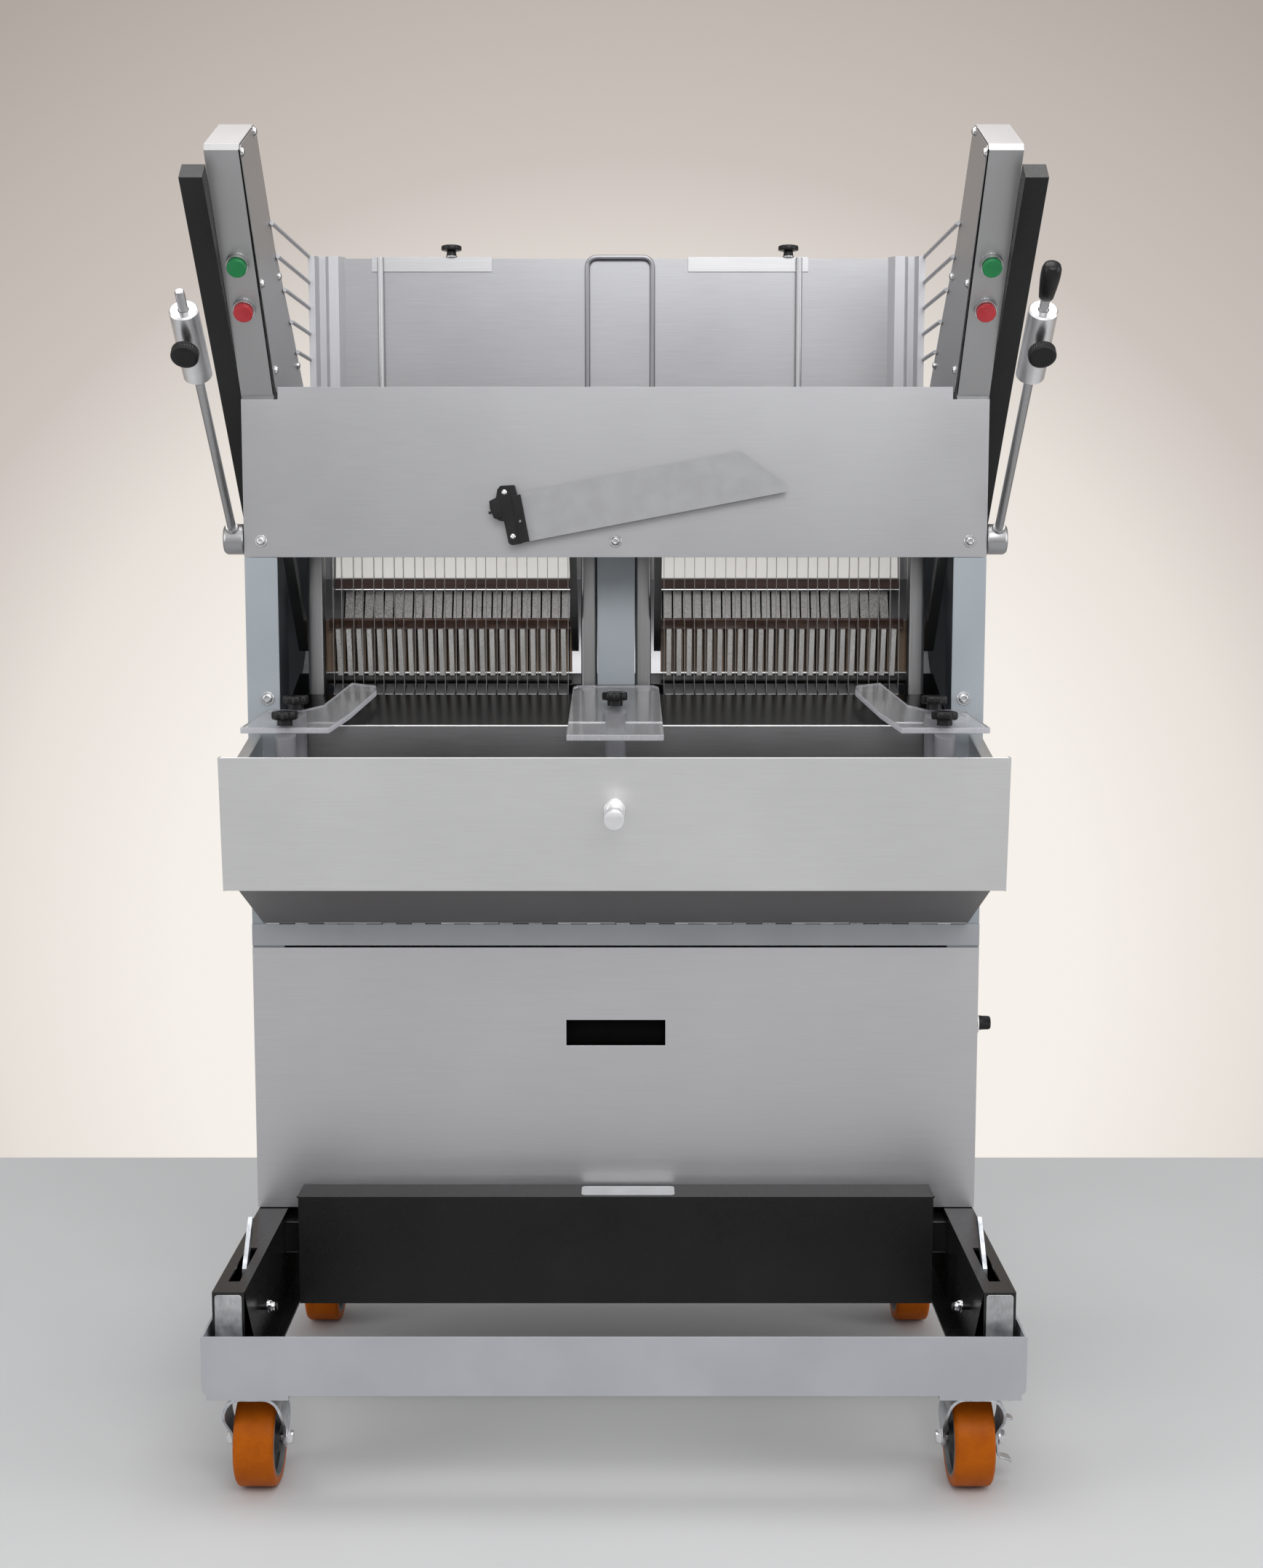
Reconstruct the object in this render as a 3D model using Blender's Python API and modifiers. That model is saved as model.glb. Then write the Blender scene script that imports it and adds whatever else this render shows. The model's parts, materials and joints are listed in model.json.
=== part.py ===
"""Bread slicer on casters, in metres: X to the right, Y to the back, Z up, the origin under the middle.

The machine is built from the floor up: casters, wheel frame, base, side frames, table, tray, hood with its
two leaning arms, levers with the combs, blade frames, crankshaft and motor, hopper back and loaf guides.
The front plane of the cabinet is Y = 0.
"""

import math

import bmesh
import bpy
from mathutils import Matrix, Vector

# Overall frame
CABINET_HALF = 0.520
CABINET_DEPTH = 0.3365
CHANNEL_TOP = 0.282
HOOD_BOTTOM = 1.221
HOOD_TOP = 1.456

# Sheets and gaps
SHEET = 0.002
FRAME_SHEET = 0.003
SEAT = 0.0003
RUNNING = 0.0006
OVERRUN = 0.020
WELD = 0.0005
ROUND_SIDES = 20
SMALL_SIDES = 12
WHEEL_SIDES = 28

# Wheel frame and caster plates
RAIL_OVERHANG = 0.008
RAIL_HALF_DEPTH = 0.370
RAIL_BOTTOM = 0.155
RAIL_HEIGHT = 0.078
RAIL_CORNER = 0.010
RAIL_SIDE_FLANGE = 0.073
RAIL_END_FLANGE = 0.035
CASTER_PLATE = 0.105
CASTER_PLATE_THICK = 0.006
CASTER_PLATE_INSET = 0.006
RACE_RADIUS = 0.034
RACE_HEIGHT = 0.007

# Casters
WHEEL_RADIUS = 0.0625
TREAD_WIDTH = 0.053
TREAD_CORNER = 0.004
HUB_RADIUS = 0.050
HUB_RECESS = 0.006
HUB_BOSS = 0.018
HUB_BOSS_PROUD = 0.001
AXLE_RADIUS = 0.006
FORK_GAP = 0.005
FORK_SHEET = 0.004
FORK_WIDTH = 0.056
FORK_FOOT = 0.013
NUT_RADIUS = 0.0095
NUT_HEIGHT = 0.008
WASHER_HEIGHT = 0.0036
FRONT_TRAIL = 0.0325
REAR_TRAIL = -0.0175
PEDAL_WIDTH = 0.016
PEDAL_HALF_LENGTH = 0.030
PEDAL_TAB = 0.020
PEDAL_SHEET = 0.003

# Base: channels and cross box
CHANNEL_INSET = 0.002
CHANNEL_WIDTH = 0.042
CHANNEL_WALL = 0.004
CHANNEL_END_GAP = 0.029
CHANNEL_FOOT = 0.023
PLUG_LENGTH = 0.020
SLOT_WIDTH = 0.015
SLOT_SETBACK = 0.039
SLOT_LENGTH = 0.1285
BOX_SIDE_GAP = 0.024
BOX_FRONT = -0.060
BOX_BACK = 0.220
BOX_BOTTOM = 0.160
BOX_TOP = 0.317
BOX_WALL = 0.004
BRACKET_FRONT = -0.030
BRACKET_LENGTH = 0.060
BRACKET_BOTTOM = 0.225
BRACKET_HEIGHT = 0.045

# Foot levers
FOOT_PIVOT_SETBACK = 0.107
FOOT_PIVOT_Z = 0.2225
FOOT_PIN_RADIUS = 0.005
FOOT_PIN_PROUD = 0.023
FOOT_LEVER_THICK = 0.006
FOOT_LEVER_WIDTH = 0.014
FOOT_BEND_REACH = 0.0094
FOOT_BEND_RISE = 0.0475
FOOT_TIP_REACH = 0.058
FOOT_TIP_RISE = 0.1015

# Side frames
COLUMN_WIDTH = 0.046
BEARING_HALF = 0.027
BEARING_HEIGHT = 0.065

# Lower front panel, hinge rail and rear panel
PANEL_TOP = 0.666
PANEL_LIFT = 0.001
PULL_HALF_WIDTH = 0.071
PULL_BOTTOM = 0.523
PULL_HEIGHT = 0.037
PULL_DEPTH = 0.018
HINGE_RAIL_BOTTOM = 0.669
HINGE_AXIS_Z = 0.7035
KNUCKLE_RADIUS = 0.0035
HINGE_PIN_RADIUS = 0.0012
HINGE_END_GAP = 0.020
KNUCKLE_PAIRS = 6
KNUCKLE_GAP = 0.0004
REAR_PANEL_TOP = 1.186
SWITCH_Z = 0.553
SWITCH_Y = 0.012
SWITCH_RADIUS = 0.0105
SWITCH_LENGTH = 0.020

# Slicing table and clear guards
TABLE_FRONT_Z = 0.983
TABLE_SLOPE = 0.36
TABLE_BACK = 0.175
APRON_BOTTOM = 0.720
GUARD_LINE_Z = 1.0077
GUARD_THICK = 0.008
POST_RADIUS = 0.0145
POST_BOTTOM = 0.930
POST_ARM = 0.012
KNOB_RADIUS = 0.0185
KNOB_CAP = 0.012
KNOB_STEM_RADIUS = 0.0105
KNOB_STEM = 0.008
KNOB_LOBES = 7
KNOB_LOBE_DEPTH = 0.0018
FRONT_KNOB_INSET = 0.0635
FRONT_KNOB_Y = -0.0607
BACK_KNOB_INSET = 0.0705
BACK_KNOB_Y = -0.0085
CENTRE_KNOB_Y = 0.0015

# Crumb tray
TRAY_OVERHANG = 0.003
TRAY_TOP_Y = -0.202
TRAY_TOP_Z = 0.959
TRAY_BOTTOM_Y = -0.1845
TRAY_BOTTOM_Z = 0.779
TRAY_SHEET = 0.0025
TRAY_RETURN = 0.012
CHEEK_INSET = 0.018
CHEEK_BACK_Y = -0.0015
CHEEK_BACK_Z = 0.972
CHEEK_MID_Y = -0.111
CHEEK_MID_Z = 0.949
CHEEK_FLANGE = 0.0135
TRAY_KNOB_Z = 0.890
TRAY_KNOB_LENGTH = 0.066
TRAY_KNOB_FOOT_RADIUS = 0.015
TRAY_KNOB_FOOT = 0.014
TRAY_KNOB_WAIST_RADIUS = 0.011
TRAY_KNOB_HEAD_RADIUS = 0.0137
TRAY_KNOB_HEAD = 0.018
TRAY_KNOB_CHAMFER = 0.001

# Hood and arms
ARM_WIDTH = 0.045
ARM_FOOT_Y = 0.004
ARM_FOOT_Z = 1.443
ARM_TIP_Y = -0.220
ARM_TIP_Z = 1.740
ARM_TOP_Y = -0.105
ARM_TOP_Z = 1.790
ARM_BEND_Y = 0.027
ARM_BEND_Z = 1.651
ARM_MID_Y = 0.162
ARM_MID_Z = 1.554
ARM_LOW_Y = 0.256
ARM_LOW_Z = 1.479
ARM_HEEL_Z = 1.412
ARM_TIP_ROUND = 0.007
COVER_SHEET = 0.0015
COVER_BOTTOM = 1.450
HOOD_FOLD = 0.030
HOOD_SIDE_GAP = 0.006
SHAFT_BOSS_RADIUS = 0.0135
SHAFT_BOSS_DEPTH = 0.041
CLAMP_WIDTH = 0.028
CLAMP_HEIGHT = 0.066
CLAMP_DEPTH = 0.020

# Clear flap on the hood
FLAP_AXIS_X = -0.1405
FLAP_AXIS_Z = 1.2735
FLAP_LEAN = math.radians(10.8)
FLAP_Y = -0.015
FLAP_THICK = 0.005
FLAP_HEIGHT = 0.0675
FLAP_TOP_LENGTH = 0.325
FLAP_BOTTOM_LENGTH = 0.380
FLAP_NOSE = 0.010

# Buttons
BUTTON_RADIUS = 0.0128
BUTTON_PROUD = 0.0165
BUTTON_CAP = 0.008
BUTTON_STEM_RADIUS = 0.008
BUTTON_STEM = 0.012
BUTTON_TRAVEL_ROOM = 0.0002
COLLAR_WALL = 0.0018
COLLAR_HEIGHT = 0.0082
RED_BUTTON_ALONG = 0.139
GREEN_BUTTON_ALONG = 0.206

# Black stays
STAY_SIDE = 0.030
STAY_WALL = 0.002
STAY_TOP_Y = -0.216
STAY_TOP_Z = 1.709
STAY_LOW_Y = 0.1475
STAY_LOW_Z = 1.314

# Levers, weights and the cross shaft
PIVOT_Y = 0.0144
PIVOT_Z = 1.246
SHAFT_RADIUS = 0.008
LEVER_BOSS_RADIUS = 0.0215
LEVER_BOSS_LENGTH = 0.0292
LEVER_OFFSET = 0.0157
LEVER_ROD_RADIUS = 0.006
LEVER_TIP_REACH = 0.3175
LEVER_TIP_RISE = 0.303
WEIGHT_RADIUS = 0.0185
WEIGHT_START = 0.301
WEIGHT_LENGTH = 0.109
WEIGHT_CHAMFER = 0.002
SCREW_ALONG = 0.370
SCREW_SHANK_RADIUS = 0.004
SCREW_TIP = 0.010
SCREW_DISC_START = 0.031
SCREW_DISC_RADIUS = 0.0175
SCREW_DISC_THICK = 0.014
LEVER_KNOB_LENGTH = 0.052
LEVER_KNOB_OVERLAP = 0.010
LEVER_KNOB_BASE_RADIUS = 0.009
LEVER_KNOB_TOP_RADIUS = 0.0125

# Combs
BLADE_FIRST = 0.070
BLADE_PITCH = 0.015
BLADE_END_GAP = 0.0115
FINGER_WIDTH = 0.0073
FINGER_TOP_Y = 0.120
FINGER_TOP_Z = 1.1155
FINGER_BOTTOM_Y = 0.142
FINGER_BOTTOM_Z = 1.046
BOARD_FRONT = 0.150
BOARD_THICK = 0.012
BOARD_FOOT_THICK = 0.017
BOARD_BOTTOM = 1.050
BOARD_TOP = 1.128
ARM_HUB_RADIUS = 0.0115
COMB_ARM_WIDTH = 0.020
OUTER_ARM_GAP = 0.0055
OUTER_ARM_THICK = 0.0145
INNER_ARM_THICK = 0.010
INNER_ARM_START = 0.0555

# Blade frames
FRAME_SIDE_GAP = 0.070
FRAME_SIDE_BAR = 0.023
FRAME_INNER_START = 0.028
FRAME_THICK = 0.015
FRAME_FRONT_Y = 0.1065
FRAME_GAP = 0.0015
FRAME_BOTTOM = 0.900
FRAME_TOP = 1.420
FRAME_CROSS_BAR = 0.040
BLADE_THICK = 0.0006
BLADE_DEPTH = 0.0115
BLADE_INSET = 0.0015
HOLDER_DEPTH = 0.005
HOLDER_HEIGHT = 0.014
GUIDE_HEIGHT = 0.040
UPPER_GUIDE_BOTTOM = 1.320
LOWER_GUIDE_BOTTOM = 0.870
DRIVE_ROD_RADIUS = 0.006
DRIVE_SHOE = 0.014
DRIVE_SHOE_HEIGHT = 0.018
STROKE = 0.012

# Centre column
COLUMN_HALF = 0.027
COLUMN_FRONT = 0.100
COLUMN_DEPTH = 0.040
COLUMN_TOP = 1.350
COLUMN_BRACKET = 0.050

# Crankshaft and motor
CRANK_Z = 0.520
CRANK_RADIUS = 0.012
CRANK_END_GAP = 0.005
ECCENTRIC_RADIUS = 0.030
ECCENTRIC_THICK = 0.012
FRONT_ECCENTRIC_INSET = 0.090
REAR_ECCENTRIC_INSET = 0.150
GEARBOX_HALF_WIDTH = 0.050
GEARBOX_HALF_DEPTH = 0.060
GEARBOX_HALF_HEIGHT = 0.075
MOTOR_RADIUS = 0.062

# Hopper back
HOPPER_Y = 0.318
HOPPER_SIDE_GAP = 0.005
HOPPER_BOTTOM = 1.187
HOPPER_TOP = 1.674
BED_CLEAR = 0.0005
BED_RADIUS = 0.2568
BED_STEPS = 10
STRIP_WIDTH = 0.055
STRIP_DEPTH = 0.018
STRIP_RISE = 0.002
GUARD_ROD_RADIUS = 0.003
GUARD_ROD_INSET = 0.0005
GUARD_ROD_FAR = 0.312
GUARD_ROD_TOP_Z = 1.6753
GUARD_ROD_PITCH = 0.0386
GUARD_RODS = 5
DIVIDER_RADIUS = 0.004
DIVIDER_Y = 0.3125
DIVIDER_LEFT = -0.045
DIVIDER_RIGHT = 0.0545
DIVIDER_TOP = 1.675
DIVIDER_BEND = 0.014

# Loaf guides
GUIDE_LENGTH = 0.184
GUIDE_SHEET = 0.0016
GUIDE_DROP = 0.020
GUIDE_ROD_RADIUS = 0.005
GUIDE_ROD_BOTTOM = 1.205
LEFT_GUIDE_X = -0.283
RIGHT_GUIDE_X = 0.201
LEFT_ROD_X = -0.361
RIGHT_ROD_X = 0.2785
LEFT_KNOB_X = -0.253
RIGHT_KNOB_X = 0.2625
GUIDE_KNOB_RADIUS = 0.0155
GUIDE_KNOB_CAP = 0.009
GUIDE_KNOB_STEM_RADIUS = 0.0075
GUIDE_KNOB_STEM = 0.0055
GUIDE_KNOB_CHAMFER = 0.002
GUIDE_WASHER = 0.0015
GUIDE_WASHER_RADIUS = 0.009

# Finishes: colour, roughness, metallic
STAINLESS = ((0.55, 0.56, 0.58), 0.35, 1.0)
DARK_STAINLESS = ((0.25, 0.25, 0.26), 0.30, 1.0)
BLUE_GREY_PAINT = ((0.36, 0.41, 0.46), 0.45, 0.0)
RAIL_PAINT = ((0.48, 0.49, 0.52), 0.40, 0.0)
BLACK_PAINT = ((0.02, 0.02, 0.02), 0.40, 0.0)
ZINC = ((0.55, 0.57, 0.60), 0.35, 1.0)
ALUMINIUM = ((0.60, 0.60, 0.61), 0.30, 1.0)
POLISHED_STEEL = ((0.70, 0.70, 0.70), 0.12, 1.0)
BLADE_STEEL = ((0.40, 0.40, 0.41), 0.30, 1.0)
BOARD_BROWN = ((0.20, 0.11, 0.05), 0.55, 0.0)
BLACK_PLASTIC = ((0.015, 0.015, 0.017), 0.45, 0.0)
CLEAR_PLASTIC = ((0.60, 0.60, 0.66), 0.10, 0.0)
TYRE_ORANGE = ((0.85, 0.30, 0.02), 0.40, 0.0)
BUTTON_GREEN = ((0.0, 0.30, 0.10), 0.35, 0.0)
BUTTON_RED = ((0.60, 0.02, 0.03), 0.35, 0.0)
MOTOR_GREY = ((0.20, 0.22, 0.24), 0.50, 0.0)

for old in list(bpy.data.objects):
    bpy.data.objects.remove(old, do_unlink=True)
slicer = bpy.data.collections.new("bread_slicer")
bpy.context.scene.collection.children.link(slicer)
workshop = bpy.data.collections.new("workshop")
bpy.context.scene.collection.children.link(workshop)

MERGE = SEAT / 60
FLAT = math.radians(0.1)
PLANES = {
    "YZ": Matrix(((0, 0, 1), (1, 0, 0), (0, 1, 0))).to_4x4(),
    "XZ": Matrix(((1, 0, 0), (0, 0, -1), (0, 1, 0))).to_4x4(),
    "XY": Matrix.Identity(4),
}


# Shapes
def piece_of(mesh):
    piece = bpy.data.objects.new(mesh.name, mesh)
    workshop.objects.link(piece)
    return piece


def from_bmesh(name, shape):
    mesh = bpy.data.meshes.new(name)
    shape.to_mesh(mesh)
    shape.free()
    return piece_of(mesh)


def box(low, high):
    low = Vector([min(pair) for pair in zip(low, high, strict=True)])
    high_corner = Vector(high)
    shape = bmesh.new()
    bmesh.ops.create_cube(shape, size=1)
    size = [abs(high_corner[i] - low[i]) for i in range(3)]
    bmesh.ops.scale(shape, vec=size, verts=shape.verts)
    bmesh.ops.translate(shape, vec=low + Vector(size) / 2, verts=shape.verts)
    return from_bmesh("box", shape)


def side_box(side, inner, outer, front, back, bottom, top):
    """A box on one side of the machine, between two distances from its middle."""
    near, far = sorted((side * inner, side * outer))
    return box((near, front, bottom), (far, back, top))


def rod(start, end, radius, sides=ROUND_SIDES, end_radius=None):
    start = Vector(start)
    line = Vector(end) - start
    shape = bmesh.new()
    bmesh.ops.create_cone(
        shape,
        cap_ends=True,
        segments=sides,
        radius1=radius,
        radius2=radius if end_radius is None else end_radius,
        depth=line.length,
    )
    turn = Vector((0, 0, 1)).rotation_difference(line).to_matrix().to_4x4()
    place = Matrix.Translation(start + line / 2) @ turn
    bmesh.ops.transform(shape, matrix=place, verts=shape.verts)
    return from_bmesh("rod", shape)


def applied(piece):
    """The piece with its modifiers, or its curve, turned into a plain closed mesh."""
    bpy.context.view_layer.update()
    graph = bpy.context.evaluated_depsgraph_get()
    mesh = bpy.data.meshes.new_from_object(piece.evaluated_get(graph))
    mesh.transform(piece.matrix_world)
    bpy.data.objects.remove(piece, do_unlink=True)
    shape = bmesh.new()
    shape.from_mesh(mesh)
    bmesh.ops.remove_doubles(shape, verts=shape.verts, dist=MERGE)
    bmesh.ops.dissolve_limit(shape, angle_limit=FLAT, verts=shape.verts, edges=shape.edges)
    bmesh.ops.recalc_face_normals(shape, faces=shape.faces)
    return from_bmesh(mesh.name, shape)


def extruded(points, plane, start, end):
    """A flat outline in the named plane, pulled from start to end along the third axis."""
    curve = bpy.data.curves.new("outline", "CURVE")
    curve.dimensions = "2D"
    curve.fill_mode = "BOTH"
    curve.extrude = abs(end - start) / 2
    spline = curve.splines.new("POLY")
    spline.points.add(len(points) - 1)
    for place, point in zip(spline.points, points, strict=True):
        place.co = (point[0], point[1], 0, 1)
    spline.use_cyclic_u = True
    flat = piece_of_curve(curve)
    middle = (start + end) / 2
    shift = {"YZ": (middle, 0, 0), "XZ": (0, middle, 0), "XY": (0, 0, middle)}[plane]
    flat.matrix_world = Matrix.Translation(shift) @ PLANES[plane]
    return applied(flat)


def piece_of_curve(curve):
    piece = bpy.data.objects.new("curve", curve)
    workshop.objects.link(piece)
    return piece


def side_slab(side, points, inner, outer):
    return extruded(points, "YZ", side * inner, side * outer)


def bent_tube(points, radius):
    curve = bpy.data.curves.new("tube", "CURVE")
    curve.dimensions = "3D"
    curve.bevel_depth = radius
    curve.bevel_resolution = 2
    curve.use_fill_caps = True
    spline = curve.splines.new("POLY")
    spline.points.add(len(points) - 1)
    for place, point in zip(spline.points, points, strict=True):
        place.co = (*point, 1)
    return applied(piece_of_curve(curve))


def turned(profile, foot, direction, steps=ROUND_SIDES, closed=False):
    """A profile of (radius, height) points turned about the line from foot along direction."""
    mesh = bpy.data.meshes.new("turned")
    edges = [(i, i + 1) for i in range(len(profile) - 1)]
    if closed:
        edges.append((len(profile) - 1, 0))
    mesh.from_pydata([(radius, 0, height) for radius, height in profile], edges, [])
    piece = piece_of(mesh)
    screw = piece.modifiers.new("turn", "SCREW")
    screw.steps = steps
    screw.render_steps = steps
    screw.use_merge_vertices = True
    screw.merge_threshold = MERGE
    turn = Vector((0, 0, 1)).rotation_difference(Vector(direction)).to_matrix().to_4x4()
    piece.matrix_world = Matrix.Translation(foot) @ turn
    return applied(piece)


def gathered(pieces):
    """Separate solids put into one object, to be joined or cut as a group."""
    shape = bmesh.new()
    for piece in pieces:
        shape.from_mesh(piece.data)
        bpy.data.objects.remove(piece, do_unlink=True)
    return from_bmesh("group", shape)


def combined(body, tools, operation):
    for tool in tools:
        modifier = body.modifiers.new(operation.lower(), "BOOLEAN")
        modifier.operation = operation
        modifier.solver = "EXACT"
        modifier.object = tool
        body = applied(body)
        bpy.data.objects.remove(tool, do_unlink=True)
    return body


def joined(body, *tools):
    return combined(body, tools, "UNION")


def cut(body, *tools):
    return combined(body, tools, "DIFFERENCE")


def moved(piece, matrix):
    piece.data.transform(matrix)
    return piece


def mirrored(points):
    return [(-across, up) for across, up in reversed(points)]


def arc(centre, radius, start, end, steps):
    """Points on an arc, angles in degrees from the outline's first axis."""
    angles = [math.radians(start + (end - start) * i / steps) for i in range(steps + 1)]
    return [(centre[0] + radius * math.cos(a), centre[1] + radius * math.sin(a)) for a in angles]


def strip(points, width):
    """The outline of a flat bar of one width that follows a line of points."""
    left = []
    right = []
    for i, point in enumerate(points):
        here = Vector(point)
        before = Vector(points[max(i - 1, 0)])
        after = Vector(points[min(i + 1, len(points) - 1)])
        along_in = (here - before).normalized() if i else (after - here).normalized()
        along_out = (after - here).normalized() if i < len(points) - 1 else along_in
        across = Vector((-along_in.y - along_out.y, along_in.x + along_out.x)).normalized()
        reach = width / 2 / across.dot(Vector((-along_in.y, along_in.x)))
        left.append(tuple(here + across * reach))
        right.append(tuple(here - across * reach))
    return left + right[::-1]


def inset(points, distance):
    """An outline drawn in by one distance on every side, for points listed anticlockwise."""
    drawn = []
    for i, point in enumerate(points):
        here = Vector(point)
        along_in = (here - Vector(points[i - 1])).normalized()
        along_out = (Vector(points[(i + 1) % len(points)]) - here).normalized()
        normal_in = Vector((-along_in.y, along_in.x))
        normal_out = Vector((-along_out.y, along_out.x))
        across = (normal_in + normal_out).normalized()
        drawn.append(tuple(here + across * (distance / across.dot(normal_in))))
    return drawn


def finished(name, piece, finish, pivot=(0, 0, 0), parent=None):
    """The named sub-part, with its own material and its origin on its joint's axis."""
    pivot = Vector(pivot)
    piece.name = name
    piece.data.name = name
    piece.data.transform(Matrix.Translation(-pivot))
    piece.location = pivot
    if parent is not None:
        piece.parent = parent
        piece.location = pivot - place_of(parent)
    colour, roughness, metallic = finish
    material = bpy.data.materials.new(name)
    material.use_nodes = True
    shader = material.node_tree.nodes["Principled BSDF"]
    shader.inputs["Base Color"].default_value = (*colour, 1)
    shader.inputs["Roughness"].default_value = roughness
    shader.inputs["Metallic"].default_value = metallic
    piece.data.materials.clear()
    piece.data.materials.append(material)
    piece.data.shade_smooth()
    piece.data.set_sharp_from_angle(angle=math.radians(30))
    workshop.objects.unlink(piece)
    slicer.objects.link(piece)
    return piece


def place_of(piece):
    spot = Vector(piece.location)
    return spot + place_of(piece.parent) if piece.parent else spot


SIDES = {"left": -1, "right": 1}

# Places that several pieces share
RAIL_HALF_WIDTH = CABINET_HALF + RAIL_OVERHANG
CASTER_X = RAIL_HALF_WIDTH - CASTER_PLATE_INSET - CASTER_PLATE / 2
CASTER_Y = RAIL_HALF_DEPTH - CASTER_PLATE / 2
RACE_BOTTOM = RAIL_BOTTOM - CASTER_PLATE_THICK - RACE_HEIGHT
CHANNEL_OUTER = CABINET_HALF - CHANNEL_INSET
CHANNEL_INNER = CHANNEL_OUTER - CHANNEL_WIDTH
CHANNEL_HALF_DEPTH = RAIL_HALF_DEPTH - CHANNEL_END_GAP
SLOT_FRONT = -CHANNEL_HALF_DEPTH + SLOT_SETBACK
FOOT_PIVOT_Y = -CHANNEL_HALF_DEPTH + FOOT_PIVOT_SETBACK
BOX_HALF_WIDTH = CHANNEL_INNER - BOX_SIDE_GAP
CHANNEL_BOTTOM = RAIL_BOTTOM + FRAME_SHEET + SEAT
SIDE_FRAME_BOTTOM = CHANNEL_TOP + SEAT
COLUMN_INNER = CABINET_HALF - COLUMN_WIDTH
BETWEEN_COLUMNS = COLUMN_INNER - WELD
PANEL_FRONT = -SHEET - SEAT
HINGE_HALF_WIDTH = CABINET_HALF - HINGE_END_GAP
HINGE_AXIS_Y = -SEAT - KNUCKLE_RADIUS
HINGE_RAIL_TOP = HINGE_AXIS_Z - KNUCKLE_RADIUS - KNUCKLE_GAP
FRONT_KNOB_X = CABINET_HALF - FRONT_KNOB_INSET
BACK_KNOB_X = CABINET_HALF - BACK_KNOB_INSET
TRAY_HALF_WIDTH = CABINET_HALF + TRAY_OVERHANG
CHEEK_OUTER = CABINET_HALF - CHEEK_INSET
ARM_INNER = CABINET_HALF - ARM_WIDTH
OUTSIDE = CABINET_HALF + SEAT
LEVER_X = OUTSIDE + LEVER_OFFSET
FRAME_HALF_WIDTH = CABINET_HALF - FRAME_SIDE_GAP
OUTER_ARM_START = FRAME_HALF_WIDTH + OUTER_ARM_GAP
FRONT_ECCENTRIC_X = FRAME_HALF_WIDTH - FRONT_ECCENTRIC_INSET
REAR_ECCENTRIC_X = FRAME_HALF_WIDTH - REAR_ECCENTRIC_INSET
CRANK_HALF_LENGTH = CABINET_HALF - CRANK_END_GAP
HOPPER_HALF_WIDTH = ARM_INNER - HOPPER_SIDE_GAP
GUARD_ROD_X = HOPPER_HALF_WIDTH - GUARD_ROD_INSET
REAR_FRAME_Y = FRAME_FRONT_Y + FRAME_THICK + FRAME_GAP
FRAMES_BACK = REAR_FRAME_Y + FRAME_THICK
CRANK_Y = (FRAME_FRONT_Y + FRAMES_BACK) / 2
BLADE_REACH = FRAME_HALF_WIDTH - FRAME_SIDE_BAR - BLADE_END_GAP - BLADE_FIRST
BLADES_PER_BAY = int(BLADE_REACH / BLADE_PITCH) + 1
PIVOT = Vector((0, PIVOT_Y, PIVOT_Z))
LEVER_LINE = Vector((0, -LEVER_TIP_REACH, LEVER_TIP_RISE))
LEVER_LENGTH = LEVER_LINE.length
LEVER_ALONG = LEVER_LINE.normalized()
SCREW_OUT = Vector((0, -LEVER_ALONG.z, LEVER_ALONG.y))
ARM_FACE = Vector((0, ARM_TIP_Y - ARM_FOOT_Y, ARM_TIP_Z - ARM_FOOT_Z)).normalized()
ARM_OUT = Vector((0, -ARM_FACE.z, ARM_FACE.y))
GUARD_LEAN = math.atan(TABLE_SLOPE)
FLAP_SPOT = Matrix.Translation((FLAP_AXIS_X, FLAP_Y, FLAP_AXIS_Z))
FLAP_PLACE = FLAP_SPOT @ Matrix.Rotation(-FLAP_LEAN, 4, "Y")


def table_z(y):
    return TABLE_FRONT_Z + TABLE_SLOPE * y


def guard_top(y):
    return GUARD_LINE_Z + TABLE_SLOPE * y


def guard_drop():
    """How far the lower face of a clear guard lies straight below its upper face."""
    return GUARD_THICK / math.cos(GUARD_LEAN)


# Wheel frame with its caster plates
def rail_outline(half_width, bottom, top, corner):
    left = arc((-half_width + corner, bottom + corner), corner, 180, 270, 4)
    right = arc((half_width - corner, bottom + corner), corner, 270, 360, 4)
    return left + right + [(half_width, top), (-half_width, top)]


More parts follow.
